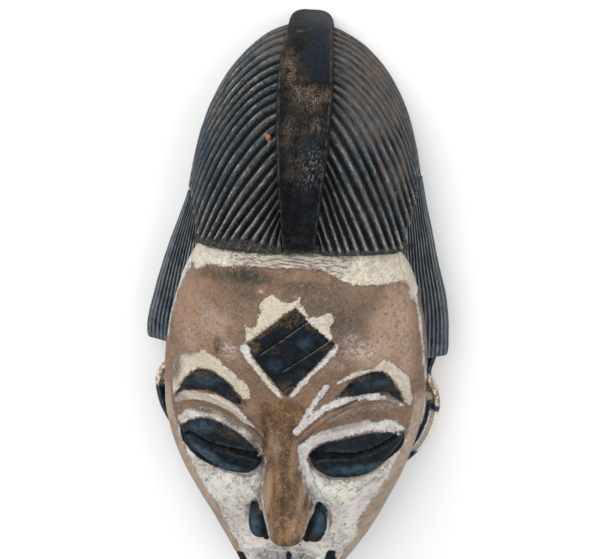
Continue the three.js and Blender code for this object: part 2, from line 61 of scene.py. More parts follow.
# Shape of the carving, as in its solid
HAIRLINE = 236
DOME_TOP = 345.5
HAIR_HALF = 68.3
HAIR_FRONT = 85
CREST_FRONT = 96
FACE_TOP = 240
UNDER = -6
CROWN_LEAN = -2
ANGLE_STEP = 0.02
ROWS_OVER_EYES = 0.55
EYE_ROWS_START = (48, 60)
EYE_ROWS_END = (176, 160)
CHIN_ROWS = 6
CHIN_ROWS_SPREAD = 2.5
COLUMNS_EVEN_AT = 120          # height at which the face's columns are evenly spaced

FACE_WIDTH = [
    (0, 16), (14, 24.5), (26, 32.5), (38, 40), (54, 49), (72, 58.5), (90, 67), (108, 73), (127, 76.5),
    (150, 77), (170, 75.5), (190, 71.5), (204, 67.5), (217, 62.5), (228, 58), (240, 52),
]
FACE_DEPTH = [
    (0, 46), (14, 55), (30, 58), (60, 62), (90, 65), (120, 68), (145, 73), (170, 80), (190, 83.5),
    (210, 84.5), (225, 83.5), (240, 80),
]
FACE_SHOULDER = [(0, 36), (60, 34), (120, 30), (170, 28), (240, 26)]
FACE_POWER = 2.25
CHIN_ROUND = 3
CHIN_DROP = 6
CHIN_DROP_SPREAD = 4
CHIN_TUCK = 5
CHIN_TUCK_SPREAD = 30
CHIN_FIRST = 0.1
WALL_DRAFT = 0.06
WALL_SHARE = 0.96
JAW_LEAN = 3.8
JAW_LEAN_AT = 45
JAW_LEAN_SPREAD = 35

LEFT = {
    "upper_lid": [(-66, 119), (-57, 127), (-46, 127.5), (-35, 124.5), (-23, 117), (-15, 104)],
    "lower_lid": [(-66, 119), (-60, 109), (-53, 102), (-45, 97), (-36, 94), (-24, 93.5), (-15, 104)],
    "slit": [(-61, 113), (-57, 116), (-47, 112.5), (-36, 111), (-26, 110), (-16, 108)],
    "brow_top": [(-68, 143), (-63, 154), (-55, 161), (-45, 159.5), (-37, 154), (-24, 139)],
    "brow_foot": [(-68, 142), (-59, 147), (-49, 148), (-40, 145), (-24, 138)],
    "ridge": [(-69, 138), (-59, 145), (-49, 145.5), (-40, 141.5), (-29, 134), (-10, 116)],
    "socket": (-40, 116, 0.3),
    "nostril": (-13.5, 67),
}
RIGHT = {
    "upper_lid": [(12, 106), (18, 112.5), (25, 118), (36, 122.5), (47, 125.5), (57, 126.5), (66, 120)],
    "lower_lid": [(12, 106), (20, 97), (30, 95), (42, 96), (52, 101), (60, 110), (66, 120)],
    "slit": [(13, 109), (22, 112), (33, 112), (44, 114), (53, 118), (64, 124)],
    "brow_top": [(20, 141), (29, 155), (37, 164), (46, 166.5), (53, 166), (58, 162), (65, 150)],
    "brow_foot": [(20, 140), (30, 147), (38, 151), (48, 153), (55, 153), (65, 149)],
    "ridge": [(4, 120), (14, 131), (23, 140), (33, 146), (44, 149), (55, 149.5), (66, 145)],
    "socket": (40, 117, -0.3),
    "nostril": (16.5, 66.5),
}
SOCKET_ACROSS = 34
SOCKET_UP = 27
SOCKET_DEPTH = 6.5
EYE_BULGE = 8.5
SLIT_DEPTH = 3
SLIT_HALF = 1.7
LID_CREASE = 0.7
CREASE_AT = -0.62      # -1 on the lower lid's edge, 1 on the upper one's
CREASE_HALF = 0.14
LID_ROUND = 0.6
LID_ENDS = 0.45
BROW_HEIGHT = 3.2
BROW_TAPER = 7
RIDGE_HEIGHT = 1.4
RIDGE_HALF = 3

NOSE_HEIGHT = [
    (58.5, 0), (60, 9), (62, 17), (66, 24.5), (70, 26.5), (76, 24.5), (90, 17), (105, 9.5), (120, 4),
    (132, 0),
]
NOSE_WIDTH = [(58, 12.5), (66, 14.5), (74, 15.5), (85, 15), (100, 13), (120, 10.5), (135, 9)]
NOSE_MIDDLE = [(58, 1.5), (70, 1), (86, -1), (110, -4), (135, -4)]
NOSE_SQUARE = 2.6
NOSE_SOFT = 1.1
NOSTRIL_ACROSS = 9
NOSTRIL_UP = 12
NOSTRIL_HEIGHT = 12.5
NOSTRIL_ROUND = 0.5

DIAMOND = [(-0.5, 206.5), (22.3, 186), (-3, 149.5), (-26.8, 181)]
DIAMOND_HEIGHT = 1.8
DIAMOND_SLOPE = 1.4
DIAMOND_OUTER = 0.2

MOUTH_X = 1
UPPER_LIP = (35.5, 18, 5.5, 8.5)      # height, half width, half height, rise
LOWER_LIP = (26, 14.5, 5, 8)
MOUTH_MOUND = (31, 26, 15, 3.5)
CHIN_MOUND = (11, 18, 11, 4)

DOME_SQUARE = 0.86
DOME_FULL = 0.87
POLE_HEIGHT = {-1: 217.5, 1: 223}
POLE_FRONT = 8
RIM_ANGLE = 93
SIDE_ANGLE = 88
FLUTES = 22
FLUTE_DEPTH = 2.3
FLUTE_FIRST = 0.5
FLUTE_ROUND = 1.2
FLUTE_WANDER = 0.08
FLUTE_STEADY = 0.08
FLUTE_WAVES = 3.5
FLUTE_UNEVEN = 0.3
FLUTE_WORN = 0.68
GROOVE_AT = {-1: 0.4, 1: 0.57}
MANTLE = 6
CORE_INSET = 3.2
CREST_EDGE = 0.13
BORDER = 8
FLUTE_START = {
    -1: [(0, 3.5), (1, 6.5), (3, 11), (5, 17), (7, 23.3), (9, 31), (11, 38), (14, 49), (17, 62), (22, 92)],
    1: [(0, 2), (1, 5), (2, 9.3), (3, 15.6), (5, 23.3), (7, 30.5), (9, 40), (12, 49), (17, 67), (22, 92)],
}
FLUTE_END_ROUND = {
    -1: [(0, 6), (1, 9.5), (2, 14), (4, 23), (6, 34.5), (8, 44.7), (10, 54), (12, 59), (17, 71), (22, 84)],
    1: [(0, 9), (1, 11.5), (2, 15), (5, 27), (7, 37.7), (9, 49), (11, 57), (13, 62.7), (17, 73), (22, 84)],
}
FLUTE_END_OVER = {
    -1: [(0, 0), (9, 0), (10, 1), (12, 8.5), (14, 20), (17, 42), (22, 92)],
    1: [(0, 0), (9, 0), (10, 1), (12, 12), (14, 26), (17, 49), (22, 92)],
}
FLUTE_BEND = [(0, 1), (6, 1), (8, 1.15), (10, 1.45), (13, 1.85), (22, 1.9)]

CREST_WIDTH = [
    (235, 8.5), (246, 9.2), (262, 10.7), (283, 12.7), (302, 14.1), (325, 14.5), (340, 14), (352, 12.8),
]
CREST_SQUARE = 0.8
CREST_DEPTH = 14
CREST_ROOT = 28
CREST_DIP = 8
CREST_DIP_LENGTH = 8
CREST_ROOT_WIDTH = 0.8
CREST_FOOT = 1
CREST_POWER = [(235, 4.4), (325, 4.2), (345, 3.3)]

TRESS = {
    -1: [(161, 89.6), (170, 89.2), (190, 85), (209, 80), (230, 73.2), (250, 66.5)],
    1: [(161, 89.6), (183, 87.5), (199, 84), (215, 79), (233, 74), (250, 69), (266, 65)],
}
TRESS_ROOT = 48
TRESS_BACK = 8
TRESS_EDGE = 21
TRESS_BEVEL = 5
TRESS_BEVEL_SHARE = 0.05
TRESS_RISE = 21
TRESS_CROWN = 14
TRESS_CROWN_FROM = 50
TRESS_CROWN_TO = 85
TRESS_GROOVES = 8
TRESS_GROOVE_DEPTH = 1.1
TRESS_PLAIN = 0.12
TRESS_GROOVED = 0.6
TRESS_INNER = 0.8
TRESS_FOOT = 7
TRESS_FOOT_FADE = 2
TRESS_CORNER = 0.6
TRESS_CORNER_UP = 3
TRESS_UNDERCUT = 3

EAR = {
    -1: [(97, 71), (108, 77), (117, 80.8), (126, 83.2), (132, 84), (139, 82.3), (145.5, 75)],
    1: [
        (87, 71), (97, 78.3), (106, 83), (117, 86.2), (127, 87.2), (135, 86), (142, 82.3), (148, 80.3),
        (157, 82.5), (164, 84.5),
    ],
}
EAR_ROOT = 62
EAR_MIDDLE = 17
EAR_HALF = 10
EAR_HOLLOW = 4
EAR_RIM = 3
EAR_LIP = 2
EAR_UNDERCUT = 4
EAR_THIN = 0.8
EAR_STEP = 0.5

HOLLOW_WIDTH = [
    (16, 8), (30, 19), (60, 38), (100, 57), (150, 62), (200, 56), (240, 53), (290, 44), (315, 31),
    (330, 15),
]
HOLLOW_DEPTH = [
    (16, 26), (30, 38), (60, 46), (120, 50), (180, 64), (230, 67), (280, 62), (310, 46), (330, 18),
]
HOLLOW_POWER = 2.6
GOUGE_STROKES = 7
GOUGE_SWAY = (1.7, 23)         # how far the strokes sway, and over what length
GOUGE_LENGTH = 31
GOUGE_SHIFT = 2.1
GOUGE_DEPTH = 0.018
RIPPLE_DEPTH = 0.012
RIPPLE_LENGTH = 9
ROOM = 400

# Surface of the finished piece
SHARP_ANGLE = 42
# Unevenness of the hand-smoothed wood, as (height, size, number of the noise)
UNEVEN = [(0.16, 11, 3), (0.08, 3.7, 8)]
SLIT_CUT = 0.5
SLIT_EDGE = (-0.4, 0.6)
PAINT_THICK = 0.35
PAINT_EDGE = (-0.6, 0.8)
PAINT_UNEVEN = 0.4
PAINT_LUMPS = (2.5, 5)         # size of the lumps, and the number of their noise
RIM_CLEAR = (0, 2)             # heights over which all this begins above the flat rim
HAIR_MIDDLE = 0.3              # place of the plain dome on the map of the ridges
CHEEK_RIM = 25                 # how far above the cheeks' top the paler rim ends
BEHIND_SHOULDER = 3            # how far behind the shoulder line the face's paint ends

# Camera, floor and light
CAMERA_TARGET = (1.3, 220, 78)
CAMERA_AWAY = 600
CAMERA_RISE = 19
CAMERA_YAW = 1.7
CAMERA_ROLL = 3.0
CAMERA_LENS = 68.4
CAMERA_SENSOR = 36
FLOOR = -0.0002
FLOOR_HALF = 3.0
FLOOR_TONE = (0.9, 0.9, 0.9, 1)
FLOOR_ROUGH = 0.9
SKY_STRENGTH = 0.55
LIGHT_TARGET = (0, 0, 0.05)
# Lights, as (name, place, size, power)
LIGHTS = [("key", (-0.5, 0.65, 0.95), 1.4, 15.5), ("fill", (0.7, 0.1, 0.9), 0.9, 4.5)]


# Curves and grids

def curve(points, v):
    """Smooth curve through (v, value) points that never overshoots: cubic pieces whose slope at each
    point is the harmonic mean of the slopes on both sides."""
    x, y = np.array(points, float).T
    chord = np.diff(y) / np.diff(x)
    before, after = chord[:-1], chord[1:]
    same = before * after > 0
    mean = np.where(same, 2 * before * after / np.where(same, before + after, 1), 0)
    slope = np.concatenate([chord[:1], mean, chord[-1:]])
    at = np.clip(np.asarray(v, float), x[0], x[-1])
    i = np.clip(np.searchsorted(x, at) - 1, 0, len(x) - 2)
    step = x[i + 1] - x[i]
    t = (at - x[i]) / step
    bend = slope[i] * t * (1 - t) ** 2 - slope[i + 1] * t * t * (1 - t)
    return y[i] * (1 + 2 * t) * (1 - t) ** 2 + y[i + 1] * t * t * (3 - 2 * t) + step * bend


def soft(low, high, v):
    """Soft step from 0 to 1 between two values."""
    t = np.clip((v - low) / (high - low), 0, 1)
    return t * t * (3 - 2 * t)


def signed_power(v, power):
    """A power of the size, with the sign kept."""
    return np.sign(v) * np.abs(v) ** power


def rise(v, power):
    """A power of the value, and 0 where it is negative."""
    return np.clip(v, 0, None) ** power


def grid(rows, columns):
    """Two parameters on a grid, rows down and columns across."""
    return np.meshgrid(rows, columns, indexing="ij")


def points_of(x, y, z):
    """Points as one array, their last axis X, Y and Z."""
    return np.stack(np.broadcast_arrays(x, y, z), axis=-1)


def lattice_noise(points, size, seed):
    """Smooth noise from -1 to 1: random values at the corners of cubes of the given size, blended
    softly across each cube."""
    place = points / size
    cell = np.floor(place).astype(np.int64)
    t = place - cell
    t = t * t * (3 - 2 * t)
    total = np.zeros(len(points))
    for corner in np.ndindex(2, 2, 2):
        c = cell + corner
        mixed = (c[:, 0] * 73856093) ^ (c[:, 1] * 19349663) ^ (c[:, 2] * 83492791) ^ (seed * 2654435761)
        mixed = ((mixed ^ (mixed >> 13)) * 1274126177) & 0xFFFFFFFF
        value = ((mixed ^ (mixed >> 16)) & 0xFFFF) / 32767.5 - 1
        weight = np.prod(np.where(corner, t, 1 - t), axis=1)
        total += value * weight
    return total


# Face

def face_width(y):
    """Half width of the face at a height, closing round at the chin's tip."""
    return curve(FACE_WIDTH, y) * np.sqrt(1 - np.exp(-y / CHIN_ROUND))


def face_depth(y):
    """How far the face stands out at a height, dropping at the chin's tip."""
    return curve(FACE_DEPTH, y) - CHIN_DROP * np.exp(-y / CHIN_DROP_SPREAD)


def jaw_lean(y):
    """How far the jaw leans to the right: a bell curve over the height."""
    return JAW_LEAN * np.exp(-(((y - JAW_LEAN_AT) / JAW_LEAN_SPREAD) ** 2))


def face_point(angle, y):
    """Plain face: at each height a squared half ellipse that stands on the shoulder line."""
    shoulder = curve(FACE_SHOULDER, y)
    x = jaw_lean(y) + face_width(y) * signed_power(np.sin(angle), 2 / FACE_POWER)
    z = shoulder + (face_depth(y) - shoulder) * rise(np.cos(angle), 2 / FACE_POWER)
    return points_of(x, y, z)


def between(lower, upper, x, y):
    """-1 on the lower curve, 1 on the upper one, and 9 past their ends."""
    inside = (x > lower[0][0]) & (x < lower[-1][0])
    low, high = curve(lower, x), curve(upper, x)
    q = (y - (low + high) / 2) / np.maximum((high - low) / 2, 0.001)
    return np.where(inside, q, 9)


def oval(form, x, y):
    """A mound: a parabola over an ellipse."""
    height, across, up, peak = form
    return peak * rise(1 - ((x - MOUTH_X) / across) ** 2 - ((y - height) / up) ** 2, 1)


def eye_relief(side, x, y):
    """Bulging lids: a half ellipse between the lid lines, cut by the slit and by a fine crease that
    runs inside the lower lid's edge."""
    q = between(side["lower_lid"], side["upper_lid"], x, y)
    inner, outer = side["lower_lid"][0][0], side["lower_lid"][-1][0]
    along = rise(1 - ((2 * x - inner - outer) / (outer - inner)) ** 2, LID_ENDS)
    off = np.abs(y - curve(side["slit"], x))
    slit = SLIT_DEPTH * (1 - soft(0, SLIT_HALF, off))
    crease = LID_CREASE * (1 - soft(0, CREASE_HALF, np.abs(q - CREASE_AT)))
    bulge = EYE_BULGE * rise(1 - q * q, LID_ROUND)
    return np.where(np.abs(q) < 1, (bulge - slit - crease) * along, 0)


def socket_relief(side, x, y):
    """Eye socket: a slanting elliptical bowl with a parabola's depth."""
    cx, cy, tilt = side["socket"]
    dx = (x - cx) / SOCKET_ACROSS
    dy = (y - cy + tilt * (x - cx)) / SOCKET_UP
    return -SOCKET_DEPTH * rise(1 - dx * dx - dy * dy, 1)


def brow_relief(side, x, y):
    """Arched brow: rounded between its two outlines, and tapered at both ends."""
    q = between(side["brow_foot"], side["brow_top"], x, y)
    inner, outer = side["brow_foot"][0][0], side["brow_foot"][-1][0]
    ends = soft(0, BROW_TAPER, x - inner) * soft(0, BROW_TAPER, outer - x)
    return np.where(np.abs(q) < 1, BROW_HEIGHT * rise(1 - q * q, LID_ROUND) * ends, 0)


def ridge_relief(side, x, y):
    """Thin ridge below the brow: a soft bump along a curve."""
    ridge = side["ridge"]
    inside = (x > ridge[0][0]) & (x < ridge[-1][0])
    off = (y - curve(ridge, x)) / RIDGE_HALF
    return np.where(inside, RIDGE_HEIGHT * rise(1 - off * off, 2), 0)


def nose_relief(x, y):
    """Nose: a squared arch along its bridge, and two half ellipsoids for the wings."""
    across = np.abs((x - curve(NOSE_MIDDLE, y)) / curve(NOSE_WIDTH, y))
    bridge = curve(NOSE_HEIGHT, y) * rise(1 - across ** NOSE_SQUARE, NOSE_SOFT)
    for cx, cy in (LEFT["nostril"], RIGHT["nostril"]):
        dx = (x - cx) / NOSTRIL_ACROSS
        dy = (y - cy) / NOSTRIL_UP
        wing = NOSTRIL_HEIGHT * rise(1 - dx ** 2 - dy ** 2, NOSTRIL_ROUND)
        bridge = np.maximum(bridge, wing)
    return bridge


def diamond_relief(x, y):
    """Raised where a point is inside all four edges."""
    off = np.full(x.shape, -9e9)
    for (ax, ay), (bx, by) in zip(DIAMOND, DIAMOND[1:] + DIAMOND[:1]):
        edge = ((x - ax) * (by - ay) - (y - ay) * (bx - ax)) / np.hypot(bx - ax, by - ay)
        off = np.maximum(off, edge)
    return DIAMOND_HEIGHT * (1 - soft(-DIAMOND_SLOPE, DIAMOND_OUTER, off))


def relief(x, y):
    """Height of all carving above the plain face."""
    mouth = np.maximum(oval(UPPER_LIP, x, y), oval(LOWER_LIP, x, y))
    height = nose_relief(x, y) + diamond_relief(x, y) + mouth
    height = height + oval(MOUTH_MOUND, x, y) + oval(CHIN_MOUND, x, y)
    for side in (LEFT, RIGHT):
        height = height + socket_relief(side, x, y) + eye_relief(side, x, y)
        height = height + np.maximum(brow_relief(side, x, y), ridge_relief(side, x, y))
    return height


def even_angles(count, height):
    """Angles across the face that are evenly spaced along its section at one height."""
    dense = np.linspace(ANGLE_STEP - np.pi / 2, np.pi / 2 - ANGLE_STEP, 2000)
    section = face_point(dense, np.full(dense.shape, float(height)))
    steps = np.linalg.norm(np.diff(section, axis=0), axis=1)
    run = np.concatenate([[0], np.cumsum(steps)])
    return np.interp(np.linspace(0, run[-1], count), run, dense)


def even_heights(count):
    """Heights of the face's rows: dense at the chin's tip and over the eyes and the nose."""
    dense = np.linspace(CHIN_FIRST, FACE_TOP, 4000)
    eyes = soft(*EYE_ROWS_START, dense) * soft(*EYE_ROWS_END, dense)
    weight = 1 + ROWS_OVER_EYES * eyes + CHIN_ROWS * np.exp(-dense / CHIN_ROWS_SPREAD)
    run = np.concatenate([[0], np.cumsum((weight[1:] + weight[:-1]) / 2)])
    return np.interp(np.linspace(0, run[-1], count), run, dense)


def make_face(rows=225, columns=186, wall_rows=10):
    """Face block: at each height a closed ring of the wall, the carved front and the other wall. The
    front is the plain face moved along its normal by the relief."""
    height, angle = grid(even_heights(rows), even_angles(columns, COLUMNS_EVEN_AT))
    plain = face_point(angle, height)
    across = face_point(angle + ANGLE_STEP, height) - face_point(angle - ANGLE_STEP, height)
    up = face_point(angle, height + 1) - face_point(angle, np.maximum(height - 1, CHIN_FIRST / 2))
    normal = np.cross(across, up)
    normal /= np.linalg.norm(normal, axis=-1, keepdims=True)
    front = plain + normal * relief(plain[..., 0], plain[..., 1])[..., None]
    walls = [face_wall(front[:, end], wall_rows) for end in (0, -1)]
    ring = np.concatenate([walls[0], front, walls[1][:, ::-1]], axis=1)
    return ring, ring[..., :2]


def face_wall(edge, count):
    """Side wall: from under the back rim up to the face's edge, drawing in towards the back and, at
    the chin, sloping up."""
    t = np.linspace(0, WALL_SHARE, count)[None, :]
    edge = edge[:, None, :]
    x, y, top = edge[..., 0], edge[..., 1], edge[..., 2]
    z = UNDER + (top - UNDER) * t
    tuck = 1 - np.maximum(z, 0) / top
    lean = jaw_lean(y)
    x = lean + (x - lean) * (1 - WALL_DRAFT * tuck)
    return points_of(x, y + CHIN_TUCK * tuck * np.exp(-y / CHIN_TUCK_SPREAD), z)


# Hair

def over_head(angle, low, high, front, square):
    """Middle line over the head: a squared quarter ellipse from the hairline to the back rim."""
    up = low + (high - low) * rise(np.sin(angle), square)
    return up, front * signed_power(np.cos(angle), square)


def crown_lean(y):
    """How far the head leans to the left, growing evenly with height."""
    return CROWN_LEAN * (y - HAIRLINE) / (DOME_TOP - HAIRLINE)


def dome_point(around, over, side, out):
    """A point of the dome, moved out by a distance: the middle line drawn in towards the pole at the
    side of the head."""
    up, front = over_head(over, HAIRLINE, DOME_TOP, HAIR_FRONT, DOME_SQUARE)
    pole = np.where(np.asarray(side) < 0, POLE_HEIGHT[-1], POLE_HEIGHT[1])
    fall = rise(np.cos(around), DOME_FULL)
    y = pole + (up - pole + out * np.sin(over)) * fall
    z = POLE_FRONT + (front - POLE_FRONT + out * np.cos(over)) * fall
    x = side * (HAIR_HALF + out) * np.sin(around) + crown_lean(y)
    return points_of(x, y, z)


def hairline_height(x):
    """Height of the hair's front edge above a place on the face."""
    around = np.arcsin(np.clip(np.abs(x) / HAIR_HALF, 0, 1))
    return dome_point(around, 0 * around, np.where(x < 0, -1, 1), 0)[..., 1]


def make_dome(rounds=70, overs=56):
    """Plain dome under the flutes, in sections from side to side."""
    sides = np.radians(np.linspace(-SIDE_ANGLE, SIDE_ANGLE, rounds))
    around, over = grid(sides, np.radians(np.linspace(0, RIM_ANGLE, overs)))
    side = np.sign(around + 1e-9)
    arc = dome_point(np.abs(around), over, side, -CORE_INSET)
    root = points_of(arc[:, 0, 0], np.where(side[:, 0] < 0, POLE_HEIGHT[-1], POLE_HEIGHT[1]), UNDER)
    ring = np.concatenate([arc, root[:, None]], axis=1)
    return ring, ring[..., :2]


def flute_angles(flute, along, side):
    """Where a point of a flute lies on the dome, from the crest (0) to its far end (1)."""
    end_round = np.radians(curve(FLUTE_END_ROUND[side], flute))
    end_over = np.radians(curve(FLUTE_END_OVER[side], flute))
    start_over = np.radians(curve(FLUTE_START[side], flute))
    fall = 1 - along ** curve(FLUTE_BEND, flute)
    return CREST_EDGE + (end_round - CREST_EDGE) * along, end_over + (start_over - end_over) * fall


def flute_groove(flute, side):
    """Depth of the groove between two ridges, 0 on a ridge and 1 in a groove, and the ridge's number
    with the groove's middle, which lies off the middle, moved to the half between two numbers."""
    share = flute % 1
    middle = GROOVE_AT[side]
    after = 0.5 + (share - middle) / (1 - middle) / 2
    turn = np.where(share < middle, share / middle / 2, after)
    return rise(1 - 2 * np.abs(turn - 0.5), FLUTE_ROUND), np.floor(flute) + turn


def make_flutes(side, each=8, lengths=60):
    """Fluted layer of one side: a slab whose outer skin sinks at each groove. The flutes wander a
    little, and are cut less deep in places. The map gives the ridge's number and how far along."""
    count = int((FLUTES - FLUTE_FIRST) * each) + 1
    flute, along = grid(np.linspace(FLUTE_FIRST, FLUTES, count), np.linspace(0, 1, lengths))
    run = np.stack([flute.ravel() / 2, along.ravel() * FLUTE_WAVES, 0 * flute.ravel()], axis=-1)
    wander = lattice_noise(run, 1.0, 11 + side).reshape(flute.shape)
    cut = 1 + FLUTE_UNEVEN * lattice_noise(run, 0.6, 31 + side).reshape(flute.shape)
    middle = soft(0, FLUTE_STEADY, along) * soft(FLUTES, FLUTES - 2, flute)
    around, over = flute_angles(flute + FLUTE_WANDER * wander * middle, along, side)
    plain = dome_point(around, over, side, 0)
    border = soft(0, BORDER, plain[..., 1] - dome_point(around, 0 * over, side, 0)[..., 1])
    groove, number = flute_groove(flute, side)
    faint = patch_strength(plain[..., :2].reshape(-1, 2), PATCHES["hair_faint"]).reshape(flute.shape)
    cut = cut * (1 - FLUTE_WORN * faint)
    outer = dome_point(around, over, side, -FLUTE_DEPTH * groove * border * cut)
    return outer, dome_point(around, over, side, -MANTLE), np.stack([number, along], axis=-1)


def make_crest(lengths=110, around=34):
    """Crest: a rounded square section carried over the head, rooted deep in the dome."""
    foot = HAIRLINE - CREST_FOOT
    overs = np.linspace(ANGLE_STEP, np.radians(RIM_ANGLE), lengths)
    over, angle = grid(overs, np.linspace(-np.pi / 2, np.pi / 2, around))
    up, front = over_head(over, foot, CREST_TOP, CREST_FRONT, CREST_SQUARE)
    dip = CREST_DIP * np.exp(-(up - foot) / CREST_DIP_LENGTH)
    half = curve(CREST_WIDTH, up)
    power = 2 / curve(CREST_POWER, up)
    across = signed_power(np.sin(angle), power)
    down = CREST_DEPTH * (1 - rise(np.cos(angle), power))
    roots = [CREST_ROOT_WIDTH, -CREST_ROOT_WIDTH]
    across = np.concatenate([across, np.broadcast_to(roots, (lengths, 2))], axis=1)
    down = np.concatenate([down, np.full((lengths, 2), float(CREST_ROOT))], axis=1)
    over, up, front, dip, half = (a[:, :1] for a in (over, up, front, dip, half))
    x = half * across + crown_lean(up)
    ring = points_of(x, up - np.sin(over) * down, front - dip - np.cos(over) * down)
    return ring, points_of(across, over, 0)[..., :2]


def make_tress(side, rows=62, fine=4):
    """Side tress: at each height a bevelled plate whose front rises towards the head, with
    lengthwise grooves of a zigzag profile."""
    outline = TRESS[side]
    foot, head = outline[0][0], outline[-1][0]
    shares = np.concatenate([
        [0, TRESS_BEVEL_SHARE / 3, TRESS_BEVEL_SHARE],
        np.linspace(TRESS_PLAIN, TRESS_GROOVED, TRESS_GROOVES * fine + 1),
        [TRESS_INNER, 1],
    ])
    y, share = grid(np.linspace(foot, head, rows), shares)
    edge = curve(outline, y) - TRESS_CORNER * (1 - soft(0, TRESS_CORNER_UP, y - foot))
    turn = (share - TRESS_PLAIN) / (TRESS_GROOVED - TRESS_PLAIN) * TRESS_GROOVES
    inside = (share >= TRESS_PLAIN) & (share <= TRESS_GROOVED)
    groove = TRESS_GROOVE_DEPTH * np.where(inside, 1 - 2 * np.abs(turn % 1 - 0.5), 0)
    grooved = soft(TRESS_FOOT - TRESS_FOOT_FADE, TRESS_FOOT + TRESS_FOOT_FADE, y - foot)
    climb = TRESS_RISE + TRESS_CROWN * soft(TRESS_CROWN_FROM, TRESS_CROWN_TO, y - foot)
    bevel = TRESS_EDGE + TRESS_BEVEL * np.sqrt(np.minimum(share / TRESS_BEVEL_SHARE, 1))
    x = side * (edge + (TRESS_ROOT - edge) * share)
    front = points_of(x, y, bevel + climb * share - grooved * groove)
    height, end = y[:, 0], edge[:, 0]
    back = [points_of(side * x, height, TRESS_BACK) for x in (TRESS_ROOT + 0 * end, end - TRESS_UNDERCUT)]
    ring = np.concatenate([front, np.stack(back, axis=1)], axis=1)
    uv = np.stack([np.concatenate([turn, turn[:, -2:]], axis=1), ring[..., 1] - foot], axis=-1)
    return ring, uv


def make_ear(side, rows=40, fine=8):
    """Ear: at each height a plate with a rounded rim around a hollow."""
    outline = EAR[side]
    foot, head = outline[0][0], outline[-1][0]
    y = np.linspace(foot, head, rows)
    edge = curve(outline, y)
    along = (2 * y - foot - head) / (head - foot)
    half = EAR_HALF * np.sqrt(1 - EAR_THIN * along ** 2)
    front = EAR_MIDDLE + half
    low = front - EAR_HOLLOW * rise(1 - along ** 2, 1)
    inner = np.linspace(EAR_ROOT + 0 * edge, edge - EAR_RIM - EAR_LIP, fine)
    turn = np.linspace(0, np.pi / 2, 4)[:, None]
    rim = edge - EAR_RIM + EAR_RIM * np.sin(turn)
    xs = [EAR_ROOT + 0 * edge, *inner, edge - EAR_RIM - EAR_STEP, *rim, edge, edge - EAR_UNDERCUT]
    top = front - EAR_RIM * (1 - np.cos(turn))
    middle = EAR_MIDDLE + 0 * edge
    zs = [EAR_MIDDLE - half, *[low] * fine, front - EAR_STEP, *top, middle, EAR_MIDDLE - half]
    ring = points_of(side * np.stack(xs, axis=1), y[:, None], np.stack(zs, axis=1))
    return ring, ring[..., :2]


def make_hollow(rows=92, around=72):
    """Hollow: squared half ellipses one wall inside the outline, dished by the strokes of a gouge that
    ran from end to end."""
    heights = np.linspace(HOLLOW_WIDTH[0][0], HOLLOW_WIDTH[-1][0], rows)
    y, angle = grid(heights, np.linspace(-np.pi / 2, np.pi / 2, around))
    far, length = GOUGE_SWAY
    stroke = angle * GOUGE_STROKES + far * np.sin(y / length) + np.floor(y / GOUGE_LENGTH) * GOUGE_SHIFT
    ripple = np.abs(np.sin(y / RIPPLE_LENGTH + 2 * np.sin(angle * 3)))
    scoop = 1 + GOUGE_DEPTH * np.abs(np.sin(stroke)) + RIPPLE_DEPTH * ripple
    half = curve(HOLLOW_WIDTH, y)
    x = half * signed_power(np.sin(angle), 2 / HOLLOW_POWER) * scoop
    z = curve(HOLLOW_DEPTH, y) * rise(np.cos(angle), 2 / HOLLOW_POWER) * scoop
    under = points_of(np.stack([half[:, 0], -half[:, 0]], axis=1), y[:, :2], 2 * UNDER)
    ring = np.concatenate([points_of(x, y, z), under], axis=1)
    return ring, ring[..., :2]


# Meshes

def new_object(name, points, quads, uv, finish):
    """A mesh object from points, quads or triangles with four corners each, and a place on the UV map
    for each point. finish is the number of its material."""
    mesh = bpy.data.meshes.new(name)
    mesh.from_pydata(points, [], quads)
    layer = mesh.uv_layers.new(name="carving")
    corner = np.empty(len(mesh.loops), np.int32)
    mesh.loops.foreach_get("vertex_index", corner)
    layer.data.foreach_set("uv", np.asarray(uv, np.float32)[corner].ravel())
    for material in MATERIALS:
        mesh.materials.append(material)
    mesh.polygons.foreach_set("material_index", np.full(len(mesh.polygons), finish, np.int32))
    body = bpy.data.objects.new(name, mesh)
    bpy.context.scene.collection.objects.link(body)
    turn_outwards(mesh)
    return body


def turn_outwards(mesh):
    """Flips a closed mesh whose volume comes out negative."""
    mesh.calc_loop_triangles()
    triangles = np.empty(len(mesh.loop_triangles) * 3, np.int32)
    mesh.loop_triangles.foreach_get("vertices", triangles)
    a, b, c = vertex_points(mesh)[triangles.reshape(-1, 3)].transpose(1, 0, 2)
    if np.einsum("ij,ij->", a, np.cross(b, c)) < 0:
        mesh.flip_normals()


def loft(name, ring, uv, finish):
    """Closed rings of equal count joined one after another, with a fan over each end."""
    rows, count = ring.shape[:2]
    first = (np.arange(rows - 1)[:, None] * count + np.arange(count)).ravel()
    after = (np.arange(rows - 1)[:, None] * count + (np.arange(count) + 1) % count).ravel()
    quads = np.stack([first, after, after + count, first + count], axis=1).tolist()
    points = np.concatenate([ring.reshape(-1, 3), ring[[0, -1]].mean(axis=1)])
    place = np.concatenate([uv.reshape(-1, 2), uv[[0, -1]].mean(axis=1)])
    here = np.arange(count)
    there = (here + 1) % count
    hub = rows * count
    last = (rows - 1) * count
    fans = [(hub, b, a) for a, b in zip(here.tolist(), there.tolist())]
    fans += [(hub + 1, last + a, last + b) for a, b in zip(here.tolist(), there.tolist())]
    return new_object(name, points, quads + fans, place, finish)


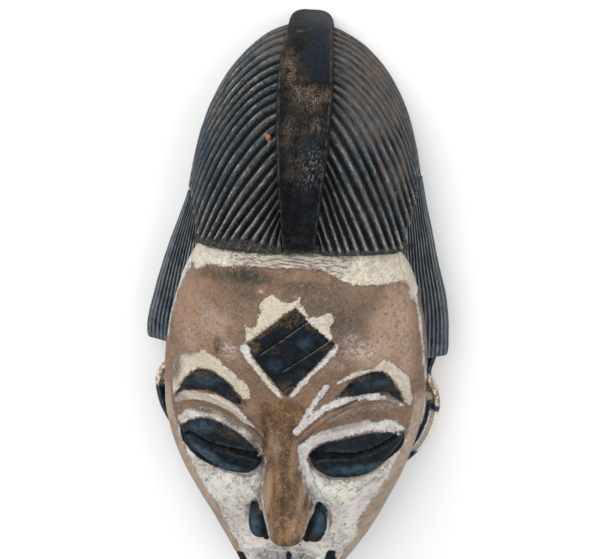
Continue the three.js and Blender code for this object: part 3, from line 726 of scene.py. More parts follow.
def slab(name, outer, inner, uv, finish):
    """The solid between two grids of the same size."""
    rows, columns = outer.shape[:2]
    number = np.arange(rows * columns).reshape(rows, columns)
    below = number + rows * columns

    def band(a, b, c, d):
        """Quads from four arrays of corners."""
        return np.stack([s.ravel() for s in (a, b, c, d)], axis=1).tolist()

    quads = band(number[:-1, :-1], number[:-1, 1:], number[1:, 1:], number[1:, :-1])
    quads += band(below[:-1, :-1], below[1:, :-1], below[1:, 1:], below[:-1, 1:])
    quads += band(number[:-1, 0], number[1:, 0], below[1:, 0], below[:-1, 0])
    quads += band(number[:-1, -1], below[:-1, -1], below[1:, -1], number[1:, -1])
    quads += band(number[0, :-1], below[0, :-1], below[0, 1:], number[0, 1:])
    quads += band(number[-1, :-1], number[-1, 1:], below[-1, 1:], below[-1, :-1])
    points = np.concatenate([outer.reshape(-1, 3), inner.reshape(-1, 3)])
    return new_object(name, points, quads, np.concatenate([uv.reshape(-1, 2)] * 2), finish)


def combine(body, tool, operation):
    """Joins tool to body or cuts it away, and removes tool."""
    cut = body.modifiers.new(tool.name, "BOOLEAN")
    cut.operation = operation
    cut.solver = "MANIFOLD"
    cut.object = tool
    evaluated = body.evaluated_get(bpy.context.evaluated_depsgraph_get())
    mesh = bpy.data.meshes.new_from_object(evaluated)
    body.modifiers.clear()
    old, body.data = body.data, mesh
    bpy.data.meshes.remove(old)
    leftover = tool.data
    bpy.data.objects.remove(tool)
    bpy.data.meshes.remove(leftover)


# Paint, as outlines on the carving seen from the front. A stroke is (points, half width).

HAIR_BAND = [
    (-68, 204), (-64, 219), (-57, 229), (-49, 233), (-40, 233), (-25, 234.5), (-9, 236.5), (8, 237),
    (24, 236), (38, 234), (47, 232.5), (57, 229), (64, 215), (68, 206), (66, 203.5), (62.5, 204),
    (59, 213), (54.5, 215.5), (47, 216.8), (36, 218), (25, 220.5), (18, 224), (11, 227), (1.5, 227.6),
    (-8, 227), (-18, 226.5), (-29, 225.3), (-39, 222.5), (-48, 221.2), (-56, 215), (-60, 215.5),
    (-65.5, 204),
]
EDGE_LINES = [
    ([(-61, 216), (-66.5, 204), (-69.8, 194), (-72.6, 181), (-73.8, 168)], 1.0),
    ([(62.5, 210), (66.8, 198), (69.6, 186), (71.4, 175), (73.6, 163), (77, 148)], 0.9),
]
THIN_BAND = [(-36, 236), (-10, 237), (10, 237), (28, 235), (20, 222), (8, 225), (-8, 225), (-30, 223)]
SMEAR_LEFT = [
    (-27.5, 181), (-26, 186), (-27.4, 195), (-24.6, 192.8), (-20.6, 193.6), (-20.2, 199.8), (-18, 202.4),
    (-19.5, 205.2), (-16.9, 209.8), (-12.8, 212), (-7.3, 209.8), (-2.3, 209.4), (0.6, 212), (2.1, 214.2),
    (3.3, 213.4), (2.4, 209.5), (6, 203.2), (9, 202), (5, 202), (0, 206.5), (-14, 194.2),
]
SMEAR_RIGHT = [
    (1, 206), (4.5, 206), (8, 202.4), (13.8, 202.8), (17.5, 204), (19.6, 202.6), (20.8, 199),
    (18.1, 196.4), (19.2, 193), (20.2, 189.6), (19.9, 187.8), (16.5, 190), (12.5, 193.4), (8, 198),
]
STRIPES = [
    [
        (-26.6, 182.4), (-29.7, 178.4), (-25.9, 172.4), (-19.8, 164.9), (-12.5, 155), (-7, 148.8),
        (-5.2, 150.4), (-11.8, 160), (-18.8, 169.6), (-23.2, 175.4), (-22.8, 178.4),
    ],
    [
        (22.4, 186), (23.4, 181), (18.1, 173.7), (10, 163.6), (3, 153), (0.6, 149.4), (-1, 151.2),
        (5.4, 162), (13.4, 172.9), (19.4, 181),
    ],
]
ABOVE_BROWS = [
    [
        (-70, 158), (-66, 162), (-60, 167.5), (-55.5, 169.5), (-49.5, 173), (-45, 171.5), (-41.5, 170.5),
        (-34.5, 164), (-29.5, 160), (-25.5, 156), (-23, 148.5), (-24, 146), (-28, 146.5), (-35, 155.2),
        (-42.5, 160.4), (-48.8, 161.3), (-55, 160), (-60.6, 153.4), (-65.4, 143), (-68.5, 134.5),
        (-69.4, 142), (-70, 150),
    ],
    [
        (23.7, 160), (28.4, 165), (35.2, 168.7), (43.5, 170.4), (46.5, 173), (49.5, 174.4), (55, 170.8),
        (60, 165), (63.8, 160), (67, 150), (67.5, 140), (63.5, 142.5), (61.8, 148), (57, 159),
        (52, 165.4), (44.8, 167.6), (37, 166), (31, 163),
    ],
]
BROWS = [
    [
        (-69.7, 134), (-65.2, 142.6), (-60.4, 153), (-54.7, 159.5), (-48.8, 160.8), (-42.8, 159.6),
        (-35.6, 154.6), (-28.4, 145.2), (-27.9, 142), (-34.2, 144.6), (-42.6, 148), (-51.7, 146.4),
        (-58.8, 143.6), (-65, 138.6),
    ],
    [
        (22.8, 147.3), (26.3, 153), (31.4, 161), (37.6, 166.2), (44.8, 167.9), (52.1, 165.3),
        (56.4, 158.6), (61.3, 147.4), (63, 142), (58.3, 147), (51, 153.6), (42.9, 153), (34.7, 152.4),
        (28, 149.6),
    ],
]
RIDGE_AREA = [
    (-68.7, 131.5), (-66, 137), (-62, 141.9), (-56.6, 144.9), (-48, 146), (-40.6, 146.2), (-35, 143.8),
    (-30.3, 139.8), (-24.4, 131.9), (-19.8, 126), (-26.2, 127), (-33, 131.8), (-41.6, 136.3),
    (-50.2, 137.3), (-59, 135.6), (-67.5, 129.8),
]
RIDGE_LINES = [
    (
        [
            (3.8, 127), (10.7, 134.8), (18.6, 143.2), (26.7, 148.4), (33.2, 150.8), (40.1, 151.4),
            (47.5, 150.4),
        ],
        2.3,
    ),
    ([(47.5, 150.8), (54.3, 147.6), (62.4, 140.9)], 1.3),
    ([(4.8, 129), (9.4, 140), (14.6, 149.9), (18.9, 158.3)], 1.7),
]
LID_LINES = [
    [
        (-67, 120), (-62.6, 126.4), (-57, 131), (-50.3, 132.6), (-41.7, 132), (-31.5, 126.8),
        (-22.7, 119.6), (-17, 112.6), (-14.8, 108.5), (-17, 108), (-21.7, 115), (-30, 121.6),
        (-40.6, 126.2), (-49.3, 127), (-58, 124.2), (-64.1, 119),
    ],
    [
        (4.6, 118.6), (7.3, 119.8), (11.9, 123.8), (18.3, 126.8), (27.9, 129), (36, 130.4), (43.3, 132),
        (47.6, 130), (54, 131.6), (59.5, 129.4), (64, 125), (64.8, 122), (62, 121.8), (54.6, 125),
        (44.3, 124.7), (34.8, 122.6), (24.8, 119.4), (15.3, 116.2), (11, 111), (10, 106), (6, 112),
    ],
]
EYES = [
    [
        (-65, 118), (-61.4, 122), (-53.6, 125.9), (-44.9, 126.8), (-36.3, 124.4), (-28, 120),
        (-21.1, 114.3), (-16, 108.6), (-15.6, 104), (-18.4, 99), (-25.2, 95.8), (-33.7, 94.4),
        (-41.9, 95), (-51.6, 97.6), (-59.2, 102.4), (-64.2, 108.8),
    ],
    [
        (10.8, 110.4), (12.3, 112.4), (16.2, 115.4), (25, 119), (34.7, 122), (44.6, 124.2),
        (54.7, 124.6), (62.4, 122.2), (65.6, 118.6), (64.8, 111.6), (59.4, 106.4), (52.8, 101.2),
        (43.6, 96.6), (34.7, 94.8), (26.5, 95.6), (19.4, 99), (14, 104),
    ],
]
NOSTRILS = [
    [
        (-20.4, 76.4), (-21.7, 72.3), (-21.9, 68.4), (-20.5, 63), (-17.5, 57.5), (-14.5, 53),
        (-12, 50.5), (-9.8, 51), (-8.6, 56), (-8.6, 64), (-9.6, 69.5), (-11.8, 73.2), (-14.6, 76.6),
        (-17.4, 78.2),
    ],
    [
        (18, 80), (20.8, 78.6), (23.2, 75.6), (24.5, 71.5), (24, 66), (21.6, 60), (18, 54.6),
        (14.4, 51.4), (11.6, 51.2), (9.8, 55), (9.6, 62), (10.6, 67), (12.8, 71.4), (15, 75.4),
    ],
]
NOSE_LINES = [
    ([(-13.6, 108), (-14, 102), (-14.8, 96), (-16.5, 90), (-18, 86), (-17.5, 82)], 0.7),
    ([(-16, 80.5), (-13, 77), (-10.4, 73.5), (-8.6, 69)], 0.4),
    ([(-15.5, 99), (-17.5, 92), (-21, 86)], 0.5),
    ([(7.6, 116), (8, 109), (9.6, 103), (12, 96), (14.8, 89.5), (17.6, 83.5)], 2.3),
    ([(17.6, 83.5), (22, 81.4), (25.2, 77)], 0.8),
]
NOSE = [
    (-20, 144), (-17.2, 133), (-16, 121), (-13.9, 111.6), (-14.2, 101), (-15, 90), (-13.5, 82),
    (-10.3, 74), (-8.3, 66), (-7.8, 58.5), (0, 56.5), (9.2, 58.5), (10.4, 65), (12.6, 72.5), (14.4, 79),
    (12.8, 87), (8.9, 97.6), (6.1, 107.4), (5, 116), (6.4, 125), (10, 134), (4, 147), (-4, 148),
    (-12, 145),
]
RIM_INNER = {
    -1: [
        (30, 28), (38.5, 28), (46.6, 31.5), (58.6, 37), (70.5, 42.6), (81, 49.8), (89.8, 55.3),
        (101.7, 61.2), (114.5, 66.5), (124.5, 69.5), (135, 70.8), (146, 71.2),
    ],
    1: [
        (30, 31), (37.8, 34), (44.6, 36.5), (51.9, 42.6), (57.3, 41.6), (64, 42), (69.8, 45), (81.4, 51),
        (92.5, 57), (105, 62), (111, 64.5), (120, 67.5), (130, 69),
    ],
}
RIM_FADE = 0.2
CHEEK_TOP = [
    (-72, 117), (-60, 112), (-40, 104), (-16, 102), (0, 98), (12, 102), (40, 103), (58, 110), (70, 118),
]
LIPS = [
    (-16, 33.5), (-10, 37), (-3, 39), (1, 38), (5, 39), (12, 37), (18, 33.5), (12, 25.5), (1, 22),
    (-10, 25.5),
]
MOUTH_LINE = ([(-15, 32), (-7, 31.5), (1, 30.5), (9, 31.5), (17, 32)], 0.7)
PHILTRUM = ([(2.6, 42.4), (2.8, 40), (2, 38)], 1.5)
BEARD = [
    (-60, 22), (-34, 26), (-28.5, 34.5), (-25, 36), (-23.2, 33), (-18, 31), (0, 35), (16, 38),
    (23, 43.2), (29.8, 43.6), (31, 38), (36, 28), (60, 22), (50, -30), (-50, -30),
]
BEARD_OPEN = [
    (-20, 60), (-20.5, 40), (-17, 24), (-8, 15), (1, 13), (10, 15), (19, 24), (23.5, 36), (23.5, 60),
]
# Lines cut into the diamond, as (start, end, how clear)
INCISED = [
    ((-19, 176.5), (7.5, 200), 1.0), ((-6.5, 167), (20, 189.5), 1.0), ((-17, 191), (8, 164), 0.1),
    ((-9, 198.5), (15, 174), 0.1),
]
CUT_END = 2.0      # length over which such a line fades at its ends
CHARCOAL_UP = [(-60, 3), (-45, 4.5), (-28, 6), (-14, 3.5), (14, 2.5), (50, 2.5)]
CHARCOAL_DOWN = [(-60, 1), (-40, 2.5), (-10, 2), (10, 1), (50, 0.5)]
CHARCOAL_HALF = 62
EYE_SLITS = [
    ([(-61, 113.5), (-57, 116.5), (-47, 113), (-36, 111.2), (-26, 110), (-18, 108.5)], 0.9),
    ([(-34, 111), (-26, 109.5), (-18.5, 107.5)], 1.5),
    ([(14, 109.5), (22, 112), (33, 112.3), (44, 114.3), (53, 118), (62, 122.5)], 0.8),
    ([(14, 109), (20, 111), (27, 111.8)], 1.3),
    ([(14, 111), (14.4, 110.6)], 1.7),
    ([(13.8, 105.8), (14.2, 105.4)], 1.2),
]


def smooth_line(points, closed, each=6):
    """More points along a line: between two points a cubic through both, aimed at their neighbours."""
    p = np.array(points, float)
    if closed:
        p = np.concatenate([p[-1:], p, p[:2]])
    else:
        p = np.concatenate([2 * p[:1] - p[1:2], p, 2 * p[-1:] - p[-2:-1]])
    t = np.linspace(0, 1, each, endpoint=False)[None, :, None]
    a, b, c, d = (p[i:len(p) - 3 + i, None] for i in range(4))
    square, cube = 2 * a - 5 * b + 4 * c - d, 3 * b - a - 3 * c + d
    line = 0.5 * (2 * b + (c - a) * t + square * t ** 2 + cube * t ** 3)
    line = line.reshape(-1, 2)
    return line if closed else np.concatenate([line, p[-2:-1]])


def line_distance(place, line):
    """Distance of each place from the nearest segment of a line."""
    nearest = np.full(len(place), 9e9)
    for a, b in zip(line[:-1], line[1:]):
        along = b - a
        t = np.clip(((place - a) @ along) / max(along @ along, 1e-9), 0, 1)
        off = place - a - t[:, None] * along
        nearest = np.minimum(nearest, (off * off).sum(axis=1))
    return np.sqrt(nearest)


def inside_area(place, outline, rounded=True):
    """How far inside a closed outline each place lies, negative outside it."""
    line = smooth_line(outline, True) if rounded else np.array(outline, float)
    line = np.concatenate([line, line[:1]])
    odd = np.zeros(len(place), bool)
    x, y = place.T
    for (ax, ay), (bx, by) in zip(line[:-1], line[1:]):
        crosses = (ay > y) != (by > y)
        odd ^= crosses & (x < (bx - ax) * (y - ay) / (by - ay if by != ay else 1) + ax)
    return np.where(odd, 1, -1) * line_distance(place, line)


def inside_stroke(place, stroke):
    """How far inside a stroke each place lies, negative outside it."""
    points, half = stroke
    return half - line_distance(place, smooth_line(points, False))


def paint_distances(points):
    """For each point, how many millimetres it lies inside each colour of paint."""
    place = points[:, :2]
    x, y, z = points.T
    face_front = z - (curve(FACE_SHOULDER, y) - BEHIND_SHOULDER)

    def areas(*outlines):
        """How far inside the nearest of some outlines each place lies."""
        return np.max([inside_area(place, outline) for outline in outlines], axis=0)

    def strokes(*lines):
        """How far inside the nearest of some strokes each place lies."""
        return np.max([inside_stroke(place, line) for line in lines], axis=0)

    rim = np.where(x < 0, -curve(RIM_INNER[-1], y) - x, x - curve(RIM_INNER[1], y))
    cheeks = curve(CHEEK_TOP, x) - y
    diamond = inside_area(place, DIAMOND, rounded=False)
    beard = np.minimum(inside_area(place, BEARD), -inside_area(place, BEARD_OPEN))
    above = y - hairline_height(x)
    charcoal = np.minimum(curve(CHARCOAL_UP, x) - above, curve(CHARCOAL_DOWN, x) + above)
    lines = strokes(*RIDGE_LINES, *NOSE_LINES, *EDGE_LINES)
    white = np.maximum(lines, areas(*STRIPES, *LID_LINES, RIDGE_AREA))
    black = [areas(*BROWS, *EYES, *NOSTRILS), diamond, beard, inside_stroke(place, PHILTRUM)]
    return {
        "band": np.minimum(inside_area(place, HAIR_BAND), face_front),
        "thick_white": np.minimum(areas(SMEAR_LEFT, SMEAR_RIGHT, *ABOVE_BROWS), face_front),
        "thin_white": np.minimum(white, face_front),
        "thin_band": inside_area(place, THIN_BAND),
        "blue_black": np.max(black, axis=0),
        "diamond": diamond,
        "nose": inside_area(place, NOSE),
        "cheek": np.minimum(np.minimum(cheeks, -rim), face_front),
        "rim": np.minimum(np.minimum(rim, RIM_FADE * (cheeks + CHEEK_RIM)), face_front),
        "lips": inside_area(place, LIPS),
        "slit": strokes(*EYE_SLITS, MOUTH_LINE),
        "ear_edge": np.where(x < 0, curve(EAR[-1], y), curve(EAR[1], y)) - np.abs(x),
        "front": face_front,
        "charcoal": np.minimum(charcoal, CHARCOAL_HALF - np.abs(x)),
    }


# Patches of colour, as (x, y, half width, half height, turn in degrees, strength)

PATCHES = {
    "flank": [
        (-11.5, 88, 3.4, 16, -6, 1), (9.5, 92, 3, 14, -12, 0.9), (11, 74, 3, 9, 0, 0.6),
        (-9, 118, 4, 10, 10, 0.5), (3, 112, 3, 12, 0, 0.6), (-8, 72, 3, 8, 0, 0.4),
    ],
    # painted highlights: lighter blue-grey where light catches the blue-black lids, brows, diamond and nose
    # wings
    "painted_highlight": [
        (-50, 105, 13, 4.5, -18, 1), (-36, 99, 12, 3, -4, 0.7), (40, 103, 20, 4, 4, 0.8),
        (-52, 121, 9, 4, 10, 0.6), (-17, 66, 4, 9, 10, 0.8), (20, 70, 3.5, 8, -10, 0.7),
        (-48, 155, 10, 3, 8, 0.4), (46, 160, 8, 3, 10, 0.4), (-10, 170, 5, 5, 0, 0.3),
        (6, 186, 5, 4, 0, 0.4),
    ],
    "sparse": [
        (-52, 131, 15, 3.5, 0, 1), (-34, 128, 12, 5, -30, 0.8), (-20, 114, 6, 10, 40, 0.7),
        (-14, 98, 5, 16, 0, 0.6), (-64, 132, 6, 8, 0, 0.5), (14, 84, 6, 10, 0, 0.5),
        (56, 146, 8, 5, 0, 0.7), (30, 128, 16, 3, 10, 0.4), (-17, 78, 6, 5, 0, 0.6),
        (-68, 156, 5, 12, -10, 1), (-60, 169, 9, 4, 20, 0.6),
    ],
    "creamy": [
        (-46, 140, 30, 14, 0, 1), (-16, 164, 14, 18, 0, 0.8), (-48, 165, 30, 12, 0, 0.8),
        (-16, 205, 18, 14, 0, 0.8),
    ],
    "dark": [
        (-27, 220.5, 16, 5.5, 4, 1), (-44, 217, 11, 4, 12, 0.7), (-28, 212, 10, 5, -20, 0.45),
        (-42, 178, 2, 7, -2, 0.85), (-2, 112, 7, 12, 0, 0.9), (-1, 90, 3, 14, 0, 0.7),
        (4, 62, 8, 4, 0, 0.5), (-14, 126, 3, 14, 25, 0.5), (0, 142, 12, 4, 0, 0.25),
        (-3, 127, 9, 12, 0, 0.6), (56, 150, 12, 6, 0, 0.3), (-52, 112, 5, 9, 60, 0.6),
        (-6, 84, 3, 16, 0, 0.5), (2, 218, 12, 4, 0, 0.5), (22, 200, 8, 8, -30, 0.4),
    ],
    "centre": [
        (12, 208, 26, 13, -4, 1), (27, 194, 12, 18, -20, 0.95), (36, 208, 12, 9, 0, 0.7),
        (-28, 206, 18, 12, 0, 0.6), (30, 172, 10, 12, 0, 0.4), (-20, 218, 16, 8, 0, 0.6),
        (38, 140, 24, 5, 10, 0.8), (-40, 136, 20, 4, -6, 0.5),
    ],
    "tan": [
        (52, 192, 15, 28, 6, 1), (42, 174, 12, 10, 0, 0.8), (60, 170, 8, 22, 0, 0.7),
        (-58, 190, 14, 26, 10, 0.6), (-44, 192, 14, 12, 0, 0.5), (-56, 150, 12, 5, 10, 0.4),
    ],
    "rust": [
        (-19, 213.5, 9, 1.6, 40, 0.9), (-33, 221, 4, 2, 0, 0.8), (-42, 206, 13, 3, -28, 0.4),
        (-47, 217, 4, 3, 20, 0.6), (44, 186, 1.6, 13, -8, 0.4), (-9, 88, 7, 20, 8, 0.6),
        (14, 138, 4, 18, 25, 0.6), (-18, 142, 9, 7, -30, 0.45), (-2, 76, 7, 8, 0, 0.5),
        (52, 146, 10, 3, -10, 0.7), (43, 151, 5, 2, 0, 0.6), (-60, 196, 10, 18, 10, 0.3),
        (-2, 135, 13, 11, 0, 0.85), (6, 70, 7, 8, 0, 0.3), (-4, 98, 3, 12, 0, 0.5),
    ],
    "pale": [
        (-35, 177, 5.5, 7, -10, 0.85), (37, 181, 13, 7, 4, 0.85), (46, 179, 9, 10, 0, 0.4),
        (-24, 186, 3, 4, 20, 0.6), (-45, 192, 8, 12, 30, 0.3), (30, 188, 6, 5, 0, 0.5),
        (-19, 213.5, 2, 1.4, 0, 1), (40, 176, 6, 4, 0, 0.5), (-58, 176, 4, 10, 20, 0.4),
        (24, 172, 5, 4, -30, 0.4), (-50, 155, 16, 3, 8, 0.5), (-44, 139, 14, 3, -8, 0.5),
        (30, 139, 14, 4, 20, 0.5), (50, 142, 10, 4, 0, 0.6), (60, 182, 4, 30, 4, 0.3),
        (6, 74, 3, 8, -10, 0.4),
    ],
    "worn": [
        (-4, 199, 7, 6, -30, 0.9), (8, 197, 6, 4, -40, 0.6), (-3, 156, 6, 7, 0, 0.8),
        (-22, 181, 5, 5, 0, 1.2), (-13, 193, 14, 1.8, 43, 0.8), (17, 183, 4, 4, 0, 0.5),
        (6, 166, 3, 3, 0, 0.45), (-10, 180, 4, 3, 0, 0.4), (28, 152, 6, 5, 40, 0.7),
        (34, 163, 12, 2.5, 12, 0.5), (55, 156, 6, 6, -50, 0.3), (-33, 110, 8, 3, -30, 0.4),
        (-35, 120, 8, 3, -15, 0.5), (-22, 99, 5, 2, 20, 0.4), (21, 101, 6, 2, -20, 0.3),
        (2, 204, 6, 3, -40, 0.9), (16, 62, 2.5, 6, 0, 0.6), (-16, 75, 3, 3, 0, 0.5),
        (58, 152, 4, 3, -40, 0.5), (-3, 151, 3, 5, 0, 1.1), (-52, 158, 12, 2, 8, 0.7),
        (-30, 149, 4, 5, -40, 0.6), (-62, 148, 4, 6, -30, 0.5),
    ],
    # grime together with painted shade: darker under the eyes' lower lids, beside the nose wings and on the
    # lower cheeks
    "grime_and_shade": [
        (-46, 95, 14, 5, -8, 0.9), (-26, 90, 9, 5, 5, 0.8), (40, 92, 16, 4, 2, 0.8),
        (24, 94, 6, 5, -30, 0.8), (-34, 60, 12, 9, 0, 0.4), (32, 52, 9, 12, 0, 0.4),
        (-26, 76, 5, 10, 10, 0.6), (28, 70, 4, 10, 0, 0.5), (58, 100, 8, 6, 30, 0.6),
    ],
    "crest_dark": [
        (4, 335, 8, 14, 0, 1), (2, 348, 12, 5, 0, 0.9), (3, 262, 9, 24, 0, 0.9), (2, 292, 6, 10, 0, 0.8),
    ],
    "crest_worn": [
        (-9.5, 329, 4.5, 8, 0, 1), (-5, 321, 5, 5, 0, 0.9), (1, 316, 10, 7, -8, 0.95),
        (6, 303, 5, 6, 0, 0.5), (-8, 300, 4, 9, 0, 0.35), (10, 316, 3, 5, 0, 0.6),
        (-13, 341, 1, 1.2, 0, 0.9), (-6.5, 344.4, 2.4, 0.7, 4, 0.9), (-3, 280, 5, 6, 0, 0.3),
    ],
    "crest_dusty": [(5, 284, 6, 12, 0, 1), (-6, 292, 4, 14, 0, 0.3), (0, 272, 5, 6, 0, 0.15)],
    "hair_worn": [
        (37, 323, 8, 4, -30, 1), (30, 328, 10, 5, -25, 0.7), (44, 300, 8, 12, -30, 0.5),
        (30, 312, 12, 10, 0, 0.4), (-46, 300, 8, 6, 30, 0.3), (18, 338, 12, 5, 0, 0.5),
        (-24, 334, 14, 4, 30, 0.35), (50, 272, 4, 10, -30, 0.7), (33, 296, 4, 8, -20, 0.6),
        (-22, 300, 3, 12, -40, 0.4), (26, 272, 3, 12, -20, 0.3), (40, 280, 3, 14, -20, 0.4),
        (-30, 262, 8, 10, 20, 0.3), (30, 258, 8, 8, 0, 0.3),
    ],
    "hair_faint": [
        (36, 312, 28, 26, -30, 1), (22, 330, 20, 14, 0, 0.9), (54, 284, 11, 28, -20, 0.7),
        (-20, 336, 18, 9, 20, 0.7), (-48, 296, 9, 22, 20, 0.35), (-58, 262, 8, 22, 10, 0.4),
        (44, 262, 12, 14, 0, 0.3),
    ],
    "hair_blue": [
        (-56, 278, 11, 32, 12, 1), (-34, 288, 9, 20, -25, 0.6), (-14, 312, 6, 16, -20, 0.5),
        (32, 288, 8, 24, -20, 0.5), (20, 318, 5, 14, 0, 0.6), (48, 256, 6, 14, 0, 0.5),
    ],
}
PATCH_FADE = (0.35, 1.25)
HAIR_SPLASH = [
    [(49, 243), (50.4, 245.5), (51.4, 243), (50.4, 240)],
    [(52.4, 240), (53.6, 242), (54.6, 239.6), (53.6, 237)],
    [(54.6, 234.6), (55.8, 237), (57, 234), (56, 231)],
]
HAIR_CHIP = [(-21, 295.6), (-17.6, 294.6), (-18.2, 290.1), (-20, 292.6)]


def patch_strength(place, patches):
    """Greatest of soft ellipses: each is at its strength in the middle and 0 outside its edge."""
    total = np.zeros(len(place))
    for x, y, across, up, turn, strength in patches:
        c, s = np.cos(np.radians(turn)), np.sin(np.radians(turn))
        dx, dy = (place - (x, y)).T
        off = np.hypot((dx * c + dy * s) / across, (dy * c - dx * s) / up)
        total = np.maximum(total, strength * (1 - soft(*PATCH_FADE, off)))
    return total


def hollowness(mesh, points, rounds=3, softer=2):
    """How far each point lies below the middle of its neighbours along its normal, in millimetres,
    evened out over a few rounds."""
    edges = np.empty(len(mesh.edges) * 2, np.int32)
    mesh.edges.foreach_get("vertices", edges)
    a, b = edges.reshape(-1, 2).T
    count = np.bincount(edges, minlength=len(points)).astype(float)[:, None]

    def middle(values):
        """Mean of each point's neighbours."""
        total = np.zeros_like(values)
        np.add.at(total, a, values[b])
        np.add.at(total, b, values[a])
        return total / np.maximum(count, 1)

    normal = vertex_normals(mesh)
    even = points
    for _ in range(rounds):
        even = (even + middle(even)) / 2
    below = ((even - points) * normal).sum(axis=1)[:, None]
    for _ in range(softer):
        below = (below + middle(below)) / 2
    return below[:, 0]


def vertex_normals(mesh):
    """Normals of a mesh's points, as rows."""
    normal = np.empty(len(mesh.vertices) * 3)
    mesh.vertex_normals.foreach_get("vector", normal)
    return normal.reshape(-1, 3)


def vertex_points(mesh):
    """Points of a mesh, as rows."""
    points = np.empty(len(mesh.vertices) * 3)
    mesh.vertices.foreach_get("co", points)
    return points.reshape(-1, 3)


# Materials

def srgb(red, green, blue):
    """A colour given as 0 to 255 on a screen, as Blender's linear values."""
    v = np.array([red, green, blue]) / 255
    v = np.where(v <= 0.04045, v / 12.92, ((v + 0.055) / 1.055) ** 2.4)
    return (*v.tolist(), 1.0)


class Nodes:
    """Adds nodes to a tree, and returns the sockets that carry their results. Wherever a value is asked
    for, it may be a number, a socket, a colour as (red, green, blue) on a screen, a soft step as
    (value, low, high), or a name: of a socket kept here, or else of an attribute of the mesh."""

    def __init__(self, tree):
        self.tree = tree
        self.kept = {}

    def add(self, kind, inputs=(), **settings):
        """A node with its settings, its inputs fed by name or number."""
        node = self.tree.nodes.new(kind)
        for name, value in settings.items():
            setattr(node, name, value)
        for name, value in dict(inputs).items():
            self.feed(node.inputs[name], value)
        return node

    def keep(self, **sockets):
        """Keeps sockets under names."""
        self.kept.update(sockets)

    def read(self, value):
        """The socket that a name or a step stands for, and any other value as it is."""
        if isinstance(value, tuple) and isinstance(value[0], (str, bpy.types.NodeSocket)):
            return self.step(*value)
        if not isinstance(value, str):
            return value
        if value not in self.kept:
            node = self.add("ShaderNodeAttribute", attribute_name=value)
            self.kept[value] = node.outputs["Fac"]
        return self.kept[value]

    def feed(self, socket, value):
        """Links a value to a socket, or sets it there."""
        value = self.read(value)
        if isinstance(value, bpy.types.NodeSocket):
            self.tree.links.new(value, socket)
        elif socket.type == "RGBA":
            socket.default_value = srgb(*value)
        else:
            socket.default_value = value

    def math(self, operation, a, b=0.0):
        """One step of arithmetic."""
        return self.add("ShaderNodeMath", {0: a, 1: b}, operation=operation).outputs[0]

    def chain(self, operation, values):
        """The same arithmetic from the first value through to the last."""
        result = values[0]
        for value in values[1:]:
            result = self.math(operation, result, value)
        return result

    def times(self, *values):
        """Product of values."""
        return self.chain("MULTIPLY", values)

    def total(self, *values):
        """Sum of values."""
        return self.chain("ADD", values)

    def most(self, *values):
        """Greatest of values."""
        return self.chain("MAXIMUM", values)

    def less(self, value):
        """One less the value."""
        return self.math("SUBTRACT", 1.0, value)

    def weighted(self, *rows):
        """Sum of values, each times its weight."""
        return self.total(*(self.times(value, weight) for value, weight in rows))

    def shaken(self, value, *rows):
        """A value moved up and down by noises, each given with its reach."""
        return self.total(value, *(self.times(self.total(noise, -0.5), reach) for noise, reach in rows))

    def step(self, value, low, high):
        """0 below low, 1 above high, and the other way round where low is the greater."""
        ends = {"Value": value, "From Min": low, "From Max": high}
        return self.add("ShaderNodeMapRange", ends, interpolation_type="SMOOTHSTEP").outputs[0]

    def mix(self, share, first, second):
        """Blend of two colours."""
        return self.add("ShaderNodeMix", {0: share, 6: first, 7: second}, data_type="RGBA").outputs[2]

    def blend(self, share, first, second):
        """Blend of two numbers."""
        return self.add("ShaderNodeMix", {0: share, 2: first, 3: second}, data_type="FLOAT").outputs[0]

    def layers(self, colour, rows):
        """Tones laid over a colour, one row after another, each as (tone, mask, mask ...). A tone's
        share is the product of its masks, where numbers count as masks too."""
        for tone, *masks in rows:
            colour = self.mix(self.times(*masks), colour, tone)
        return colour

    def split(self, vector):
        """The three parts of a vector."""
        return self.add("ShaderNodeSeparateXYZ", {0: vector}).outputs

    def mapped(self, vector, **values):
        """A vector moved, turned or scaled."""
        return self.add("ShaderNodeMapping", {"Vector": vector, **values}).outputs[0]

    def texture(self, vector, detail, rough):
        """Noise whose cells are one unit wide."""
        settings = {"Vector": vector, "Scale": 1.0, "Detail": detail, "Roughness": rough}
        return self.add("ShaderNodeTexNoise", settings).outputs["Fac"]

    def noise(self, size, detail, rough, stretch=(1, 1, 1), shift=(0, 0, 0), slant=None):
        """Noise whose cells are about size millimetres, longer where stretch is above 1. slant turns it
        about Z, in degrees."""
        place = "Place"
        if slant is not None:
            place = self.mapped(place, Rotation=(0.0, 0.0, float(np.radians(slant))))
        scale = [1 / (size * MM * s) for s in stretch]
        return self.texture(self.mapped(place, Location=shift, Scale=scale), detail, rough)

    def along_ridges(self, uv, across, along):
        """Noise on the map, finer across the ridges than along them."""
        return self.texture(self.mapped(uv, Scale=[across, along, 1.0]), 6.0, 0.72)

    def cells(self, size):
        """Distance from the nearest of points scattered about size millimetres apart."""
        moved = self.mapped("Place", Scale=[1 / (size * MM)] * 3)
        return self.add("ShaderNodeTexVoronoi", {"Vector": moved, "Scale": 1.0}).outputs["Distance"]

    def use(self, group, **values):
        """A node group at the same place, with its own values."""
        return self.add("ShaderNodeGroup", {"Place": "Place", **values}, node_tree=group).outputs


def new_group(name, inputs, outputs):
    """A shader node group with named sockets. Returns it, its Nodes, which keep its inputs by name, and
    the sockets of its exit."""
    tree = bpy.data.node_groups.new(name, "ShaderNodeTree")
    for in_out, sockets in (("INPUT", inputs), ("OUTPUT", outputs)):
        for label, kind in sockets.items():
            tree.interface.new_socket(label, in_out=in_out, socket_type="NodeSocket" + kind)
    n = Nodes(tree)
    given = n.add("NodeGroupInput").outputs
    n.keep(**{label: given[label] for label in inputs})
    return tree, n, n.add("NodeGroupOutput").inputs


